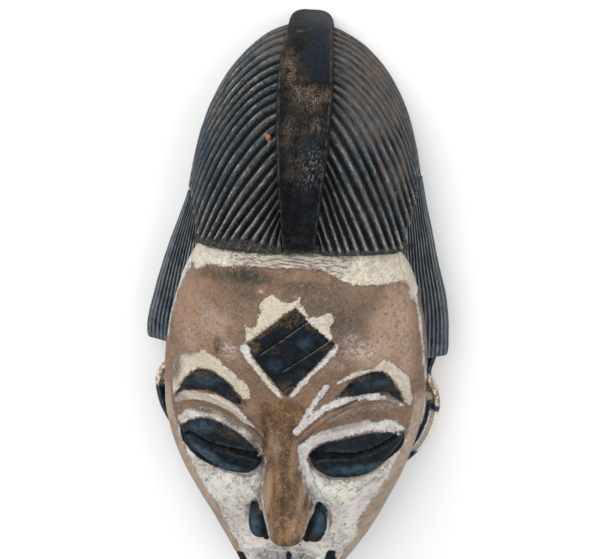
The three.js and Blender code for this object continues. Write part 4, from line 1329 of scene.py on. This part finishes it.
def make_paint_edge():
    """Paint with a ragged worn edge: its distance from the edge is shaken by noise of two sizes, and
    flakes are missing, more of them near the edge."""
    tree, n, out = new_group(
        "paint edge",
        {"Place": "Vector", "Inside": "Float", "Ragged": "Float", "Soft": "Float", "Flaking": "Float"},
        {"Mask": "Float"},
    )
    coarse = n.total(n.noise(4.5, 4, 0.65), -0.5)
    fine = n.total(n.noise(1.1, 4, 0.7, shift=(3, 1, 7)), -0.5)
    shake = n.weighted((coarse, 4.0), (fine, 4.0))
    inside = n.total("Inside", n.times(shake, "Ragged"))
    mask = n.step(inside, n.times("Soft", -1.0), "Soft")
    flake = n.noise(1.5, 6, 0.75, shift=(9, 4, 2))
    many = n.total(0.2, n.times(("Inside", 3.0, 0.0), 0.1))
    limit = n.math("SUBTRACT", 0.76, n.times("Flaking", many))
    missing = n.times((flake, limit, n.total(limit, 0.06)), ("Flaking", 0.0, 0.05))
    n.feed(out["Mask"], n.times(mask, n.less(missing)))
    return tree


def make_dirt():
    """Dirt in hollows: the colour is darkened where the carving is hollow, broken up by noise."""
    tree, n, out = new_group(
        "dirt in hollows",
        {"Place": "Vector", "Colour": "Color", "Hollow": "Float", "Amount": "Float", "Dirt": "Color"},
        {"Colour": "Color"},
    )
    broken = n.total(0.45, n.times((n.noise(2.2, 4, 0.6), 0.25, 0.65), 0.55))
    n.feed(out["Colour"], n.layers("Colour", [("Dirt", ("Hollow", 0.01, 0.12), broken, "Amount")]))
    return tree


def make_rubbing():
    """Wear on raised edges: a mask where the carving stands proud, broken up by noise."""
    tree, n, out = new_group(
        "rubbing on edges", {"Place": "Vector", "Hollow": "Float", "Amount": "Float"}, {"Mask": "Float"},
    )
    broken = n.noise(1.8, 5, 0.65, shift=(5, 5, 1))
    n.feed(out["Mask"], n.times(("Hollow", -0.02, -0.14), (broken, 0.42, 0.62), "Amount"))
    return tree


def make_grain():
    """Grain of the wood along Y: long thin streaks of noise, as a mask and as a height."""
    tree, n, out = new_group("wood grain", {"Place": "Vector"}, {"Mask": "Float", "Height": "Float"})
    streak = n.noise(1.3, 4, 0.6, stretch=(1, 26, 1))
    pores = n.noise(0.35, 2, 0.5, stretch=(1, 14, 1), shift=(2, 8, 3))
    band = n.noise(7, 2, 0.5, stretch=(1, 9, 1), shift=(6, 1, 4))
    n.feed(out["Mask"], (n.weighted((streak, 0.6), (band, 0.4)), 0.3, 0.7))
    n.feed(out["Height"], n.weighted((streak, 0.5), (pores, 0.5)))
    return tree


EDGE = make_paint_edge()
DIRT = make_dirt()
RUBBING = make_rubbing()
GRAIN = make_grain()


def painted(n, inside, ragged, soft, flaking=0.0):
    """Mask of a paint with its worn edge, from how far inside the paint each place lies."""
    return n.use(EDGE, Inside=inside, Ragged=ragged, Soft=soft, Flaking=flaking)["Mask"]


def dirtied(n, colour, amount, dirt):
    """The colour with dirt in the hollows of the carving."""
    return n.use(DIRT, Colour=colour, Hollow="hollow", Amount=amount, Dirt=dirt)["Colour"]


def rubbed(n, amount):
    """Mask of the rubbed edges of the carving."""
    return n.use(RUBBING, Hollow="hollow", Amount=amount)["Mask"]


def new_material(name):
    """An empty material with its own Principled BSDF. Returns it, its Nodes and the shader."""
    material = bpy.data.materials.new(name)
    material.use_nodes = True
    tree = material.node_tree
    tree.nodes.clear()
    n = Nodes(tree)
    n.keep(Place=n.add("ShaderNodeTexCoord").outputs["Object"])
    shader = n.add("ShaderNodeBsdfPrincipled")
    end = n.add("ShaderNodeOutputMaterial")
    tree.links.new(shader.outputs[0], end.inputs[0])
    return material, n, shader


def finish_with(n, shader, colour, rough, height, depth, specular):
    """Feeds colour, roughness and a bump of the given depth in metres into the shader, and sets how
    strongly it reflects."""
    n.feed(shader.inputs["Base Color"], colour)
    n.feed(shader.inputs["Roughness"], rough)
    bump = n.add("ShaderNodeBump", {"Height": height, "Distance": depth, "Strength": 1.0})
    n.feed(shader.inputs["Normal"], bump.outputs[0])
    shader.inputs["Specular IOR Level"].default_value = specular


def off_line(n, start, end):
    """Signed distance in millimetres from a straight line across the carving, worked out from the
    Object coordinates, with the distance along it from its start and its length."""
    along = np.subtract(end, start)
    length = float(np.hypot(*along))
    ux, uy = (along / length).tolist()
    ax, ay = start[0], start[1] - MIDDLE
    x, y, _ = n.split("Place")
    off = n.total(n.weighted((x, -uy / MM), (y, ux / MM)), ax * uy - ay * ux)
    run = n.total(n.weighted((x, ux / MM), (y, uy / MM)), -(ax * ux + ay * uy))
    return off, run, length


def brown_ground(n):
    """Brown ground of the face, scratched and stained, and paler along its rim."""
    centre = n.noise(6, 6, 0.72, shift=(2, 2, 6))
    stain = n.noise(7, 6, 0.75, shift=(6, 9, 2))
    brown = n.layers(n.mix(("cloud", 0.38, 0.62), (118, 96, 80), (136, 110, 92)), [
        ((180, 151, 127), "tan", ("mottle", 0.15, 0.5), 0.8),
        ((92, 82, 73), "centre", (centre, 0.22, 0.48), 0.85),
        ((86, 72, 60), ("mottle", 0.48, 0.62), 0.5),
        ((80, 66, 54), ("left_scratch", 0.52, 0.62), 0.5),
        ((184, 162, 142), "scratched", 0.32),
        ((70, 58, 48), ("speck", 0.54, 0.66), 0.35),
        ((190, 172, 154), ("fleck", 0.58, 0.68), 0.4),
        ((146, 110, 76), (stain, 0.52, 0.62), ("mottle", 0.3, 0.55), 0.3),
    ])
    rim = n.layers(n.mix(("cloud", 0.4, 0.65), (172, 155, 139), (150, 133, 118)), [
        ((184, 172, 160), "scratched", 0.4),
        ((118, 98, 82), ("mottle", 0.5, 0.64), 0.5),
        ((92, 80, 70), ("speck", 0.56, 0.7), 0.35),
    ])
    return n.layers(brown, [
        (rim, painted(n, "rim", 0.8, 1.0), 0.9),
        ((152, 104, 62), "rusty", 0.7),
        ((50, 50, 42), "darkened", 0.9),
        ((196, 182, 176), "bleached", 0.75),
    ])


def white_kaolin(n):
    """Kaolin of the cheeks: chalky white, stained, with dark smudges and spots."""
    tint = n.noise(12, 4, 0.6, shift=(7, 3, 3))
    blotch = n.noise(9, 5, 0.65, shift=(2, 7, 7))
    smudge = n.noise(3, 4, 0.6, shift=(9, 2, 4))
    return n.layers(n.mix(("cloud", 0.38, 0.62), (212, 209, 200), (196, 190, 190)), [
        ((204, 196, 172), (tint, 0.48, 0.62), 0.4),
        ((204, 186, 186), (tint, 0.46, 0.34), 0.35),
        ((160, 156, 150), (blotch, 0.5, 0.64), 0.6),
        ((140, 138, 134), ("mottle", 0.52, 0.64), 0.55),
        ((104, 114, 126), (smudge, 0.56, 0.64), (tint, 0.42, 0.52), 0.8),
        ((116, 112, 110), ("speck", 0.58, 0.66), 0.35),
        ((62, 72, 84), (n.cells(6), 0.16, 0.08), (blotch, 0.36, 0.5), 0.8),
        # grime and painted shade under the eyes and beside the nose
        ((104, 94, 82), "grimy", 0.75),
    ])


def nose_wood(n):
    """Rubbed wood along the nose, with paler flanks."""
    streak = n.noise(4, 5, 0.62, stretch=(1, 3, 1), shift=(2, 4, 4))
    return n.layers(n.mix((streak, 0.38, 0.6), (128, 100, 72), (78, 62, 46)), [
        ((142, 98, 60), "rusty", 0.7),
        ((50, 42, 30), "darkened", 0.85),
        ((172, 142, 120), "flank", ("mottle", 0.2, 0.5), 0.75),
        ((196, 178, 162), "bleached", 0.6),
        ((164, 142, 122), "scratched", 0.5),
        ((64, 50, 36), ("left_scratch", 0.5, 0.62), 0.45),
        ((50, 40, 30), ("speck", 0.56, 0.68), 0.2),
        ((150, 120, 86), ("fleck", 0.6, 0.7), 0.15),
    ])


def blue_black_ink(n):
    """Blue-black paint, worn through in places, with painted highlights on its raised parts and painted
    shade in the eye slits, and with the lines that are incised on the diamond, painted near black as shade,
    each with a painted highlight along one side. Returns its colour, and a mask of the cuts."""
    bare = n.noise(1.7, 6, 0.75, shift=(3, 3, 9))
    wood = n.mix(("speck", 0.4, 0.6), (104, 86, 64), (58, 46, 34))
    ink = n.layers(n.mix(("cloud", 0.35, 0.65), (7, 16, 23), (4, 8, 12)), [
        ((20, 38, 56), ("mottle", 0.46, 0.64), 0.7),
        ((3, 5, 8), ("fleck", 0.52, 0.62), 0.7),
        # painted highlights: lighter blue-grey on the lids, brows, diamond and nose wings
        ((68, 90, 104), "painted_highlight", ("mottle", 0.25, 0.6), 0.85),
        ((54, 62, 68), ("fleck", 0.58, 0.7), 0.35),
        ((96, 96, 94), ("speck", 0.6, 0.7), 0.3),
        (wood, "worn", (bare, 0.42, 0.56), 0.9),
        ((92, 92, 90), rubbed(n, 0.16)),
        # painted shade: the carved eye slits darkened to near black
        ((3, 4, 5), ("slit", -0.3, 0.5), 0.95),
    ])
    inside = n.step("diamond", 0.2, 0.6)
    cuts = []
    for start, end, share in INCISED:
        off, run, length = off_line(n, start, end)
        on_line = n.times((run, 0.0, CUT_END), (run, length, length - CUT_END), inside, share)
        cut = n.times((n.math("ABSOLUTE", off), 0.6, 0.2), on_line)
        edge = n.times((n.math("ABSOLUTE", n.total(off, 0.8)), 0.5, 0.12), on_line)
        # painted highlight: a pale line along one side of each incised line; painted shade: the line itself
        # near black
        ink = n.layers(ink, [
            ((112, 104, 90), edge, 0.7, ("mottle", 0.4, 0.53), ("fleck", 0.34, 0.52)),
            ((4, 5, 6), cut),
        ])
        cuts.append(cut)
    return ink, n.most(*cuts)


def cream_white(n, middle, streaks):
    """Thick cream white of the band along the hairline, brushed across and thin in its middle."""
    return n.layers(n.mix(("mottle", 0.4, 0.62), (232, 222, 204), (198, 188, 176)), [
        ((214, 194, 164), ("cloud", 0.5, 0.66), 0.35),
        ((160, 148, 134), ("dry", 0.52, 0.62), 0.35),
        ((178, 174, 168), middle, 0.6),
        ((122, 114, 104), streaks),
        ((126, 112, 98), ("speck", 0.56, 0.68), 0.25),
    ])


def clean_white(n):
    """Thin white of the lines round the eyes, brows and nose."""
    return n.layers(n.mix(("mottle", 0.36, 0.6), (232, 229, 224), (204, 199, 196)), [
        ((214, 200, 176), "creamy", ("mottle", 0.2, 0.5), 0.8),
        ((166, 158, 150), ("dry", 0.52, 0.64), 0.5),
        ((120, 112, 106), ("speck", 0.55, 0.66), 0.5),
        # grime and painted shade under the eyes and beside the nose
        ((120, 108, 96), "grimy", 0.6),
    ])


def make_face_paint():
    """Painted face, in the order in which its colours lie over one another: brown ground, kaolin on the
    cheeks, bare nose and lips, dirt, blue-black paint, white paint, charcoal and the dark sides."""
    material, n, shader = new_material("painted face")
    n.keep(
        cloud=n.noise(16, 4, 0.6),
        mottle=n.noise(4, 6, 0.66, shift=(4, 4, 4)),
        speck=n.noise(0.8, 4, 0.65, shift=(1, 6, 2)),
        fleck=n.noise(1.6, 5, 0.7, shift=(5, 3, 8)),
        dry=n.noise(1.2, 5, 0.75, shift=(2, 5, 5)),
        brush=n.noise(1.0, 5, 0.72, stretch=(7, 1, 1), shift=(2, 9, 1)),
        right_scratch=n.noise(0.7, 5, 0.7, stretch=(1, 7, 1), shift=(8, 2, 5), slant=38),
        left_scratch=n.noise(0.8, 5, 0.7, stretch=(1, 6, 1), shift=(3, 1, 9), slant=-64),
    )
    n.keep(
        scratched=n.times(("right_scratch", 0.52, 0.62), ("mottle", 0.3, 0.56)),
        rusty=n.times("rust", ("mottle", 0.36, 0.6)),
        darkened=n.times("dark", (n.noise(3, 6, 0.72, shift=(7, 0, 3)), 0.32, 0.52)),
        bleached=n.times("pale", (n.noise(2, 6, 0.75, shift=(0, 5, 8)), 0.42, 0.58)),
        # grime and painted shade under the eyes and beside the nose
        grimy=n.times("grime_and_shade", (n.noise(2.6, 6, 0.72, shift=(6, 6, 1)), 0.34, 0.6)),
    )
    cheek = painted(n, "cheek", 1.5, 0.8, 0.6)
    lips = n.mix(("mottle", 0.4, 0.65), (110, 80, 60), (84, 62, 48))
    colour = n.layers(brown_ground(n), [
        (white_kaolin(n), cheek),
        (nose_wood(n), painted(n, "nose", 1.3, 1.2, 0.35)),
        (lips, painted(n, "lips", 0.3, 0.5)),
    ])

    whole = n.less(n.times("sparse", ("dry", 0.38, 0.58)))
    thick = n.times(painted(n, "thick_white", 1.1, 0.35, 0.6), whole)
    thin = n.times(painted(n, "thin_white", 0.95, 0.6, 0.55), whole)
    band = painted(n, n.shaken("band", ("brush", 7.0)), 0.8, 0.3, 0.5)
    middle = n.step("thin_band", -5.0, 3.0)
    streaks = n.times(("brush", 0.44, 0.6), n.total(n.times(middle, 0.6), 0.35))
    cream = cream_white(n, middle, streaks)
    clean = clean_white(n)
    smeared = n.mix(0.35, n.mix(("cloud", 0.4, 0.6), cream, clean), (186, 168, 142))
    charcoal = n.mix(("fleck", 0.4, 0.62), (33, 34, 33), (70, 68, 64))
    side = n.mix(("cloud", 0.4, 0.7), (22, 32, 42), (44, 42, 40))
    black = painted(n, "blue_black", 0.5, 0.45)
    ink, cuts = blue_black_ink(n)
    colour = n.layers(dirtied(n, colour, 0.6, (30, 28, 26)), [
        (ink, black),
        (cream, band, n.less(n.times(middle, streaks, 0.6))),
        (smeared, thick),
        (clean, thin, 0.9),
        (charcoal, painted(n, "charcoal", 0.8, 0.9), 0.92),
        (side, (n.shaken("front", ("mottle", 3.0)), 0.6, -0.4), 0.95),
    ])

    white = n.most(thick, band, thin)
    rough = n.blend(n.most(white, cheek), n.blend(black, 0.74, 0.5), 0.82)
    height = n.weighted(
        ("mottle", 0.6), ("speck", 0.6), (n.use(GRAIN)["Height"], 0.3), ("right_scratch", 0.4),
        ("fleck", 0.5), (n.times("brush", white), 1.6), (white, 1.0), (cuts, -2.0),
    )
    finish_with(n, shader, colour, rough, height, 0.5 * MM, 0.14)
    return material


def make_charred_hair(name, char_tones, worn_tone, lines, groove_shade, length):
    """Charred and blackened wood of the hair, with painted shade darkening the grooves and broken pale
    lines on the ridges, partly rubbed wear and partly painted highlights. lines is how pale they are,
    groove_shade how dark the painted shade in the grooves, and length how far the map counts from one end
    of a ridge to the other."""
    material, n, shader = new_material(name)
    grain = n.use(GRAIN)
    uv = n.add("ShaderNodeUVMap", uv_map="carving").outputs[0]
    n.keep(
        mottle=n.noise(5, 6, 0.66),
        fleck=n.noise(1.5, 5, 0.7, shift=(7, 1, 4)),
        speck=n.noise(0.8, 4, 0.65, shift=(2, 2, 5)),
        broken=n.noise(9, 6, 0.72, shift=(5, 2, 2)),
        cloud=n.noise(14, 5, 0.7, shift=(3, 6, 1)),
        streak=n.along_ridges(uv, 4.0, 11.0 / length),
        fine=n.along_ridges(uv, 12.0, 26.0 / length),
    )
    turn = n.math("FRACT", n.total(n.shaken(n.split(uv)[0], ("fleck", 0.35)), 100.0))
    n.keep(far=n.math("ABSOLUTE", n.total(turn, -0.5)))
    clear = n.less(n.times("hair_faint", 0.7))
    groove = n.times(("far", 0.3, 0.12), clear)
    clouded = n.times(("cloud", 0.46, 0.32), ("mottle", 0.3, 0.6))
    blue = n.most(clouded, n.times("hair_blue", ("mottle", 0.24, 0.5)))
    dust = n.noise(1.8, 6, 0.75, shift=(8, 8, 2))
    bare = n.noise(2.4, 6, 0.75, shift=(3, 3, 9))
    charcoal = n.mix(("fleck", 0.4, 0.62), (30, 31, 31), (72, 70, 66))
    char = n.layers(n.mix(("mottle", 0.38, 0.62), *char_tones), [
        ((22, 22, 24), grain["Mask"], 0.25),
        ((94, 99, 101), ("fine", 0.44, 0.6), ("far", 0.1, 0.34), 0.65),
        # pale lines on the ridges: rubbed wear and painted highlights
        (
            (131, 132, 129), ("far", 0.3, 0.42), ("fine", 0.4, 0.56), ("broken", 0.42, 0.58),
            clear, lines, 0.8,
        ),
        (
            (178, 174, 166), ("far", 0.37, 0.45), ("streak", 0.46, 0.58), ("fleck", 0.4, 0.54),
            ("broken", 0.45, 0.58), clear, lines,
        ),
        (
            (178, 170, 156), ("far", 0.33, 0.43), ("streak", 0.4, 0.54), ("fleck", 0.34, 0.5),
            ("charcoal", -32.0, -8.0), lines, 0.75,
        ),
        ((108, 94, 82), ("cloud", 0.5, 0.64), (dust, 0.44, 0.6), 0.42),
        ((42, 62, 80), blue, 0.6),
        ((112, 106, 101), "hair_faint", ("streak", 0.42, 0.58), 0.7),
        ((40, 44, 50), "hair_faint", ("fine", 0.5, 0.4), 0.5),
        # painted shade: the grooves darkened to near black
        ((5, 6, 7), groove, groove_shade),
        (worn_tone, "hair_worn", (bare, 0.42, 0.58), n.less(n.times(groove, 0.7)), 0.85),
        ((114, 114, 112), rubbed(n, 0.3)),
        ((120, 114, 104), ("speck", 0.6, 0.7), 0.5),
        (charcoal, painted(n, "charcoal", 0.8, 0.9), 0.9),
        ((196, 190, 178), painted(n, "splash", 1.4, 0.4, 1.0), ("far", 0.2, 0.4), 0.8),
        ((176, 122, 84), painted(n, "chip", 0.12, 0.3)),
    ])
    height = n.weighted(
        ("mottle", 0.6), ("speck", 0.6), (grain["Height"], 0.5), ("fine", 1.2), ("fleck", 0.8),
    )
    rough = n.blend(("mottle", 0.4, 0.7), 0.66, 0.8)
    finish_with(n, shader, dirtied(n, char, 0.55, (6, 6, 7)), rough, height, 0.5 * MM, 0.12)
    return material


def make_crest_paint():
    """Crest: blue-black paint over brown wood, rubbed through in patches, with mottled grey below."""
    material, n, shader = new_material("painted crest")
    across, along, _ = n.split(n.add("ShaderNodeUVMap", uv_map="carving").outputs[0])
    sideways = n.math("ABSOLUTE", across)
    corner = n.math("ABSOLUTE", n.total(sideways, -0.9))
    n.keep(
        mottle=n.noise(5, 6, 0.68),
        fine=n.noise(1.4, 6, 0.72, shift=(2, 7, 1)),
        speck=n.noise(0.7, 4, 0.65, shift=(6, 2, 5)),
        wiped=n.noise(0.5, 5, 0.62, stretch=(1, 30, 1), shift=(1, 2, 6)),
    )
    dust = n.noise(1.0, 6, 0.78, stretch=(1, 2, 1), shift=(4, 1, 3))
    chipped = n.noise(4, 5, 0.7, shift=(1, 8, 8))
    dark = n.times("crest_dark", ("mottle", 0.2, 0.4))
    navy = n.mix(("fine", 0.4, 0.64), (7, 12, 19), (24, 38, 54))
    wood = n.mix(("wiped", 0.44, 0.6), (38, 36, 34), (122, 104, 87))
    tone = n.layers(n.mix(("mottle", 0.4, 0.62), (6, 7, 10), (32, 30, 28)), [
        ((64, 56, 48), ("wiped", 0.52, 0.62), 0.4),
        (navy, dark, 0.92),
        ((3, 4, 6), (along, 0.45, 0.25), ("mottle", 0.7, 0.45), 0.95),
        ((118, 122, 126), "crest_dusty", (dust, 0.5, 0.62), 0.65),
        (wood, "crest_worn", ("mottle", 0.34, 0.54), 0.88),
        ((96, 94, 90), ("speck", 0.6, 0.7), 0.3),
        ((122, 118, 110), (corner, 0.05, 0.01), (chipped, 0.46, 0.56), 0.28),
        ((28, 28, 26), (sideways, 0.93, 0.97), 0.7),
        ((110, 106, 98), rubbed(n, 0.05)),
    ])
    height = n.weighted(("mottle", 0.6), ("fine", 0.9), (n.use(GRAIN)["Height"], 0.7))
    rough = n.blend(dark, 0.7, 0.5)
    finish_with(n, shader, dirtied(n, tone, 0.7, (6, 6, 7)), rough, height, 0.5 * MM, 0.08)
    return material


def make_ear_paint():
    """Ears: blue-black in the hollow, worn to brown and white on the top lobe, with kaolin on the lower
    rim of the right one and where it meets the face."""
    material, n, shader = new_material("painted ears")
    n.keep(mottle=n.noise(3, 6, 0.68), speck=n.noise(0.9, 4, 0.65, shift=(2, 2, 5)))
    coarse = n.noise(9, 5, 0.7, shift=(4, 8, 1))
    x, y, _ = n.split("Place")
    right = n.step(x, 0.0, MM)
    up = n.shaken(n.total(n.times(y, 1 / MM), MIDDLE), ("mottle", 6.0), (coarse, 14.0))
    top = n.times((up, 129.0, 132.0), (up, 149.0, 146.0))
    ink = n.mix(("mottle", 0.4, 0.7), (30, 44, 60), (62, 80, 98))
    lobe = n.mix(("mottle", 0.42, 0.54), (136, 108, 84), (212, 202, 186))
    kaolin = n.mix(("speck", 0.4, 0.6), (236, 231, 222), (200, 190, 178))
    rim = painted(n, n.math("SUBTRACT", 6.0, "ear_edge"), 0.4, 0.5, 0.2)
    low = n.times((up, 126.0, 121.0), (up, 96.0, 99.0), right)
    seam = n.times(("ear_edge", 8.0, 9.5), (up, 112.0, 115.0), (up, 135.0, 131.0), right)
    tone = n.layers(dirtied(n, n.mix(top, ink, lobe), 0.5, (12, 14, 16)), [
        ((110, 98, 86), rubbed(n, 0.2)),
        (kaolin, n.most(n.times(rim, low), seam)),
    ])
    height = n.weighted(("mottle", 1.0), ("speck", 0.6))
    finish_with(n, shader, tone, n.blend(top, 0.55, 0.76), height, 0.3 * MM, 0.12)
    return material


def make_bare_wood():
    """Inside and rim: light wood gone brown with handling, with gouge marks and grain."""
    material, n, shader = new_material("bare wood")
    grain = n.use(GRAIN)
    cloud = n.noise(22, 4, 0.6)
    wood = n.layers(n.mix(grain["Mask"], (172, 132, 92), (124, 90, 60)), [
        ((92, 68, 48), (cloud, 0.4, 0.68), 0.6),
    ])
    height = n.weighted((grain["Height"], 0.8), (n.noise(2, 4, 0.6), 0.4))
    rough = n.blend((cloud, 0.35, 0.7), 0.62, 0.76)
    finish_with(n, shader, dirtied(n, wood, 0.6, (52, 38, 28)), rough, height, 0.3 * MM, 0.5)
    return material


MATERIALS = [
    make_face_paint(),
    make_charred_hair("charred hair", ((32, 39, 46), (66, 72, 77)), (112, 90, 70), 1.0, 0.88, 1.0),
    make_crest_paint(),
    make_charred_hair("charred tresses", ((66, 79, 93), (102, 114, 127)), (112, 108, 100), 0.9, 0.6, 100.0),
    make_bare_wood(),
    make_ear_paint(),
]
FACE, HAIR, CREST, TRESSES, BARE, EARS = range(len(MATERIALS))


# Assembly

def make_floor_cut():
    """A block under the back rim's plane, wide enough to cut the whole foot away."""
    across = np.array([[-1.0, 1, 1, -1]]) * ROOM
    up = np.array([[-1.0], [1]]) * ROOM
    ring = points_of(across, up, np.array([[-1.0, -1, 0, 0]]) * ROOM)
    return ring, ring[..., :2]


def carve_mask():
    """All parts joined into one closed piece, in carving coordinates."""
    body = loft("carved_mask", *make_face(), FACE)
    ring, uv = make_dome()
    combine(body, loft("dome", ring, 0 * uv + HAIR_MIDDLE, HAIR), "UNION")
    for side in (-1, 1):
        combine(body, slab("flutes", *make_flutes(side), HAIR), "UNION")
        combine(body, loft("tress", *make_tress(side), TRESSES), "UNION")
        combine(body, loft("ear", *make_ear(side), EARS), "UNION")
    combine(body, loft("crest", *make_crest(), CREST), "UNION")
    combine(body, loft("hollow", *make_hollow(), BARE), "DIFFERENCE")
    combine(body, loft("floor", *make_floor_cut(), BARE), "DIFFERENCE")
    return body


def wear_surface(body):
    """Uneven hand-smoothed surface and thick paint, then the attributes that the paint reads, and last
    the step from carving millimetres to the frame's metres."""
    mesh = body.data
    points = vertex_points(mesh)
    normal = vertex_normals(mesh)
    marks = paint_distances(points)
    uneven = sum(high * (lattice_noise(points, size, number) - 1) for high, size, number in UNEVEN)
    cut = SLIT_CUT * soft(*SLIT_EDGE, marks["slit"])
    clear = soft(*RIM_CLEAR, points[:, 2])
    points = points + normal * ((uneven - cut) * clear)[:, None]
    mesh.vertices.foreach_set("co", points.ravel())
    mesh.update()
    marks["hollow"] = hollowness(mesh, points)
    thick = soft(*PAINT_EDGE, np.maximum(marks["thick_white"], marks["band"]))
    thick = PAINT_THICK * thick * (1 + PAINT_UNEVEN * lattice_noise(points, *PAINT_LUMPS))
    points = points + normal * (thick * clear)[:, None]
    place = points[:, :2]
    for name, patches in PATCHES.items():
        marks[name] = patch_strength(place, patches)
    marks["splash"] = np.max([inside_area(place, outline) for outline in HAIR_SPLASH], axis=0)
    marks["chip"] = inside_area(place, HAIR_CHIP, rounded=False)
    for name, values in marks.items():
        layer = mesh.attributes.new(name, "FLOAT", "POINT")
        layer.data.foreach_set("value", values.astype(np.float32))
    to_frame = Matrix.Scale(MM, 4) @ Matrix.Translation((0, -MIDDLE, 0))
    low, high = (np.array(corner) / MM + (0, MIDDLE, 0) for corner in cad_bounds)
    mesh.vertices.foreach_set("co", np.clip(points, low, high).ravel())
    mesh.transform(to_frame)
    mesh.shade_smooth()
    mesh.set_sharp_from_angle(angle=np.radians(SHARP_ANGLE))


mask = carve_mask()
wear_surface(mask)
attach(mask, "root")
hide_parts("mask")


# Camera, floor and light

def place_camera():
    """Camera at the photograph's angle: looking down on the lying mask, a little from the crown's
    side, with the picture's up along the mask."""
    lift, yaw, roll = np.radians([CAMERA_RISE, CAMERA_YAW, CAMERA_ROLL])
    back = np.array([np.sin(yaw) * np.cos(lift), np.sin(lift), np.cos(yaw) * np.cos(lift)])
    up = np.array([0.0, 1.0, 0.0])
    up = up - (up @ back) * back
    up /= np.linalg.norm(up)
    right = np.cross(up, back)
    turned_right = np.cos(roll) * right + np.sin(roll) * up
    turned_up = np.cos(roll) * up - np.sin(roll) * right
    place = (np.array(CAMERA_TARGET) - (0, MIDDLE, 0) + CAMERA_AWAY * back) * MM
    matrix = Matrix.Identity(4)
    for i, axis in enumerate((turned_right, turned_up, back, place)):
        for j in range(3):
            matrix[j][i] = axis[j]
    data = bpy.data.cameras.new("camera")
    data.lens = CAMERA_LENS
    data.sensor_width = CAMERA_SENSOR
    data.sensor_fit = "HORIZONTAL"
    camera = bpy.data.objects.new("camera", data)
    camera.matrix_world = matrix
    bpy.context.scene.collection.objects.link(camera)
    bpy.context.scene.camera = camera


def area_light(name, place, size, power):
    """A square soft light aimed at the mask's middle."""
    data = bpy.data.lights.new(name, "AREA")
    data.size = size
    data.energy = power
    light = bpy.data.objects.new(name, data)
    light.location = place
    aim = Vector(LIGHT_TARGET) - Vector(place)
    light.rotation_euler = aim.to_track_quat("-Z", "Y").to_euler()
    bpy.context.scene.collection.objects.link(light)


def make_floor():
    """Plain pale floor at the level of the back rim."""
    mesh = bpy.data.meshes.new("floor")
    corners = [(x * FLOOR_HALF, y * FLOOR_HALF, FLOOR) for x, y in ((-1, -1), (1, -1), (1, 1), (-1, 1))]
    mesh.from_pydata(corners, [], [(0, 1, 2, 3)])
    floor = bpy.data.objects.new("floor", mesh)
    bpy.context.scene.collection.objects.link(floor)
    material = bpy.data.materials.new("pale floor")
    material.use_nodes = True
    shader = material.node_tree.nodes["Principled BSDF"]
    shader.inputs["Base Color"].default_value = FLOOR_TONE
    shader.inputs["Roughness"].default_value = FLOOR_ROUGH
    mesh.materials.append(material)


def light_studio():
    """A white sky and soft square lights."""
    world = bpy.data.worlds.new("studio")
    world.use_nodes = True
    background = world.node_tree.nodes["Background"]
    background.inputs["Color"].default_value = (1, 1, 1, 1)
    background.inputs["Strength"].default_value = SKY_STRENGTH
    bpy.context.scene.world = world
    for name, place, size, power in LIGHTS:
        area_light(name, place, size, power)
    bpy.context.scene.view_settings.view_transform = "Standard"


place_camera()
make_floor()
light_studio()
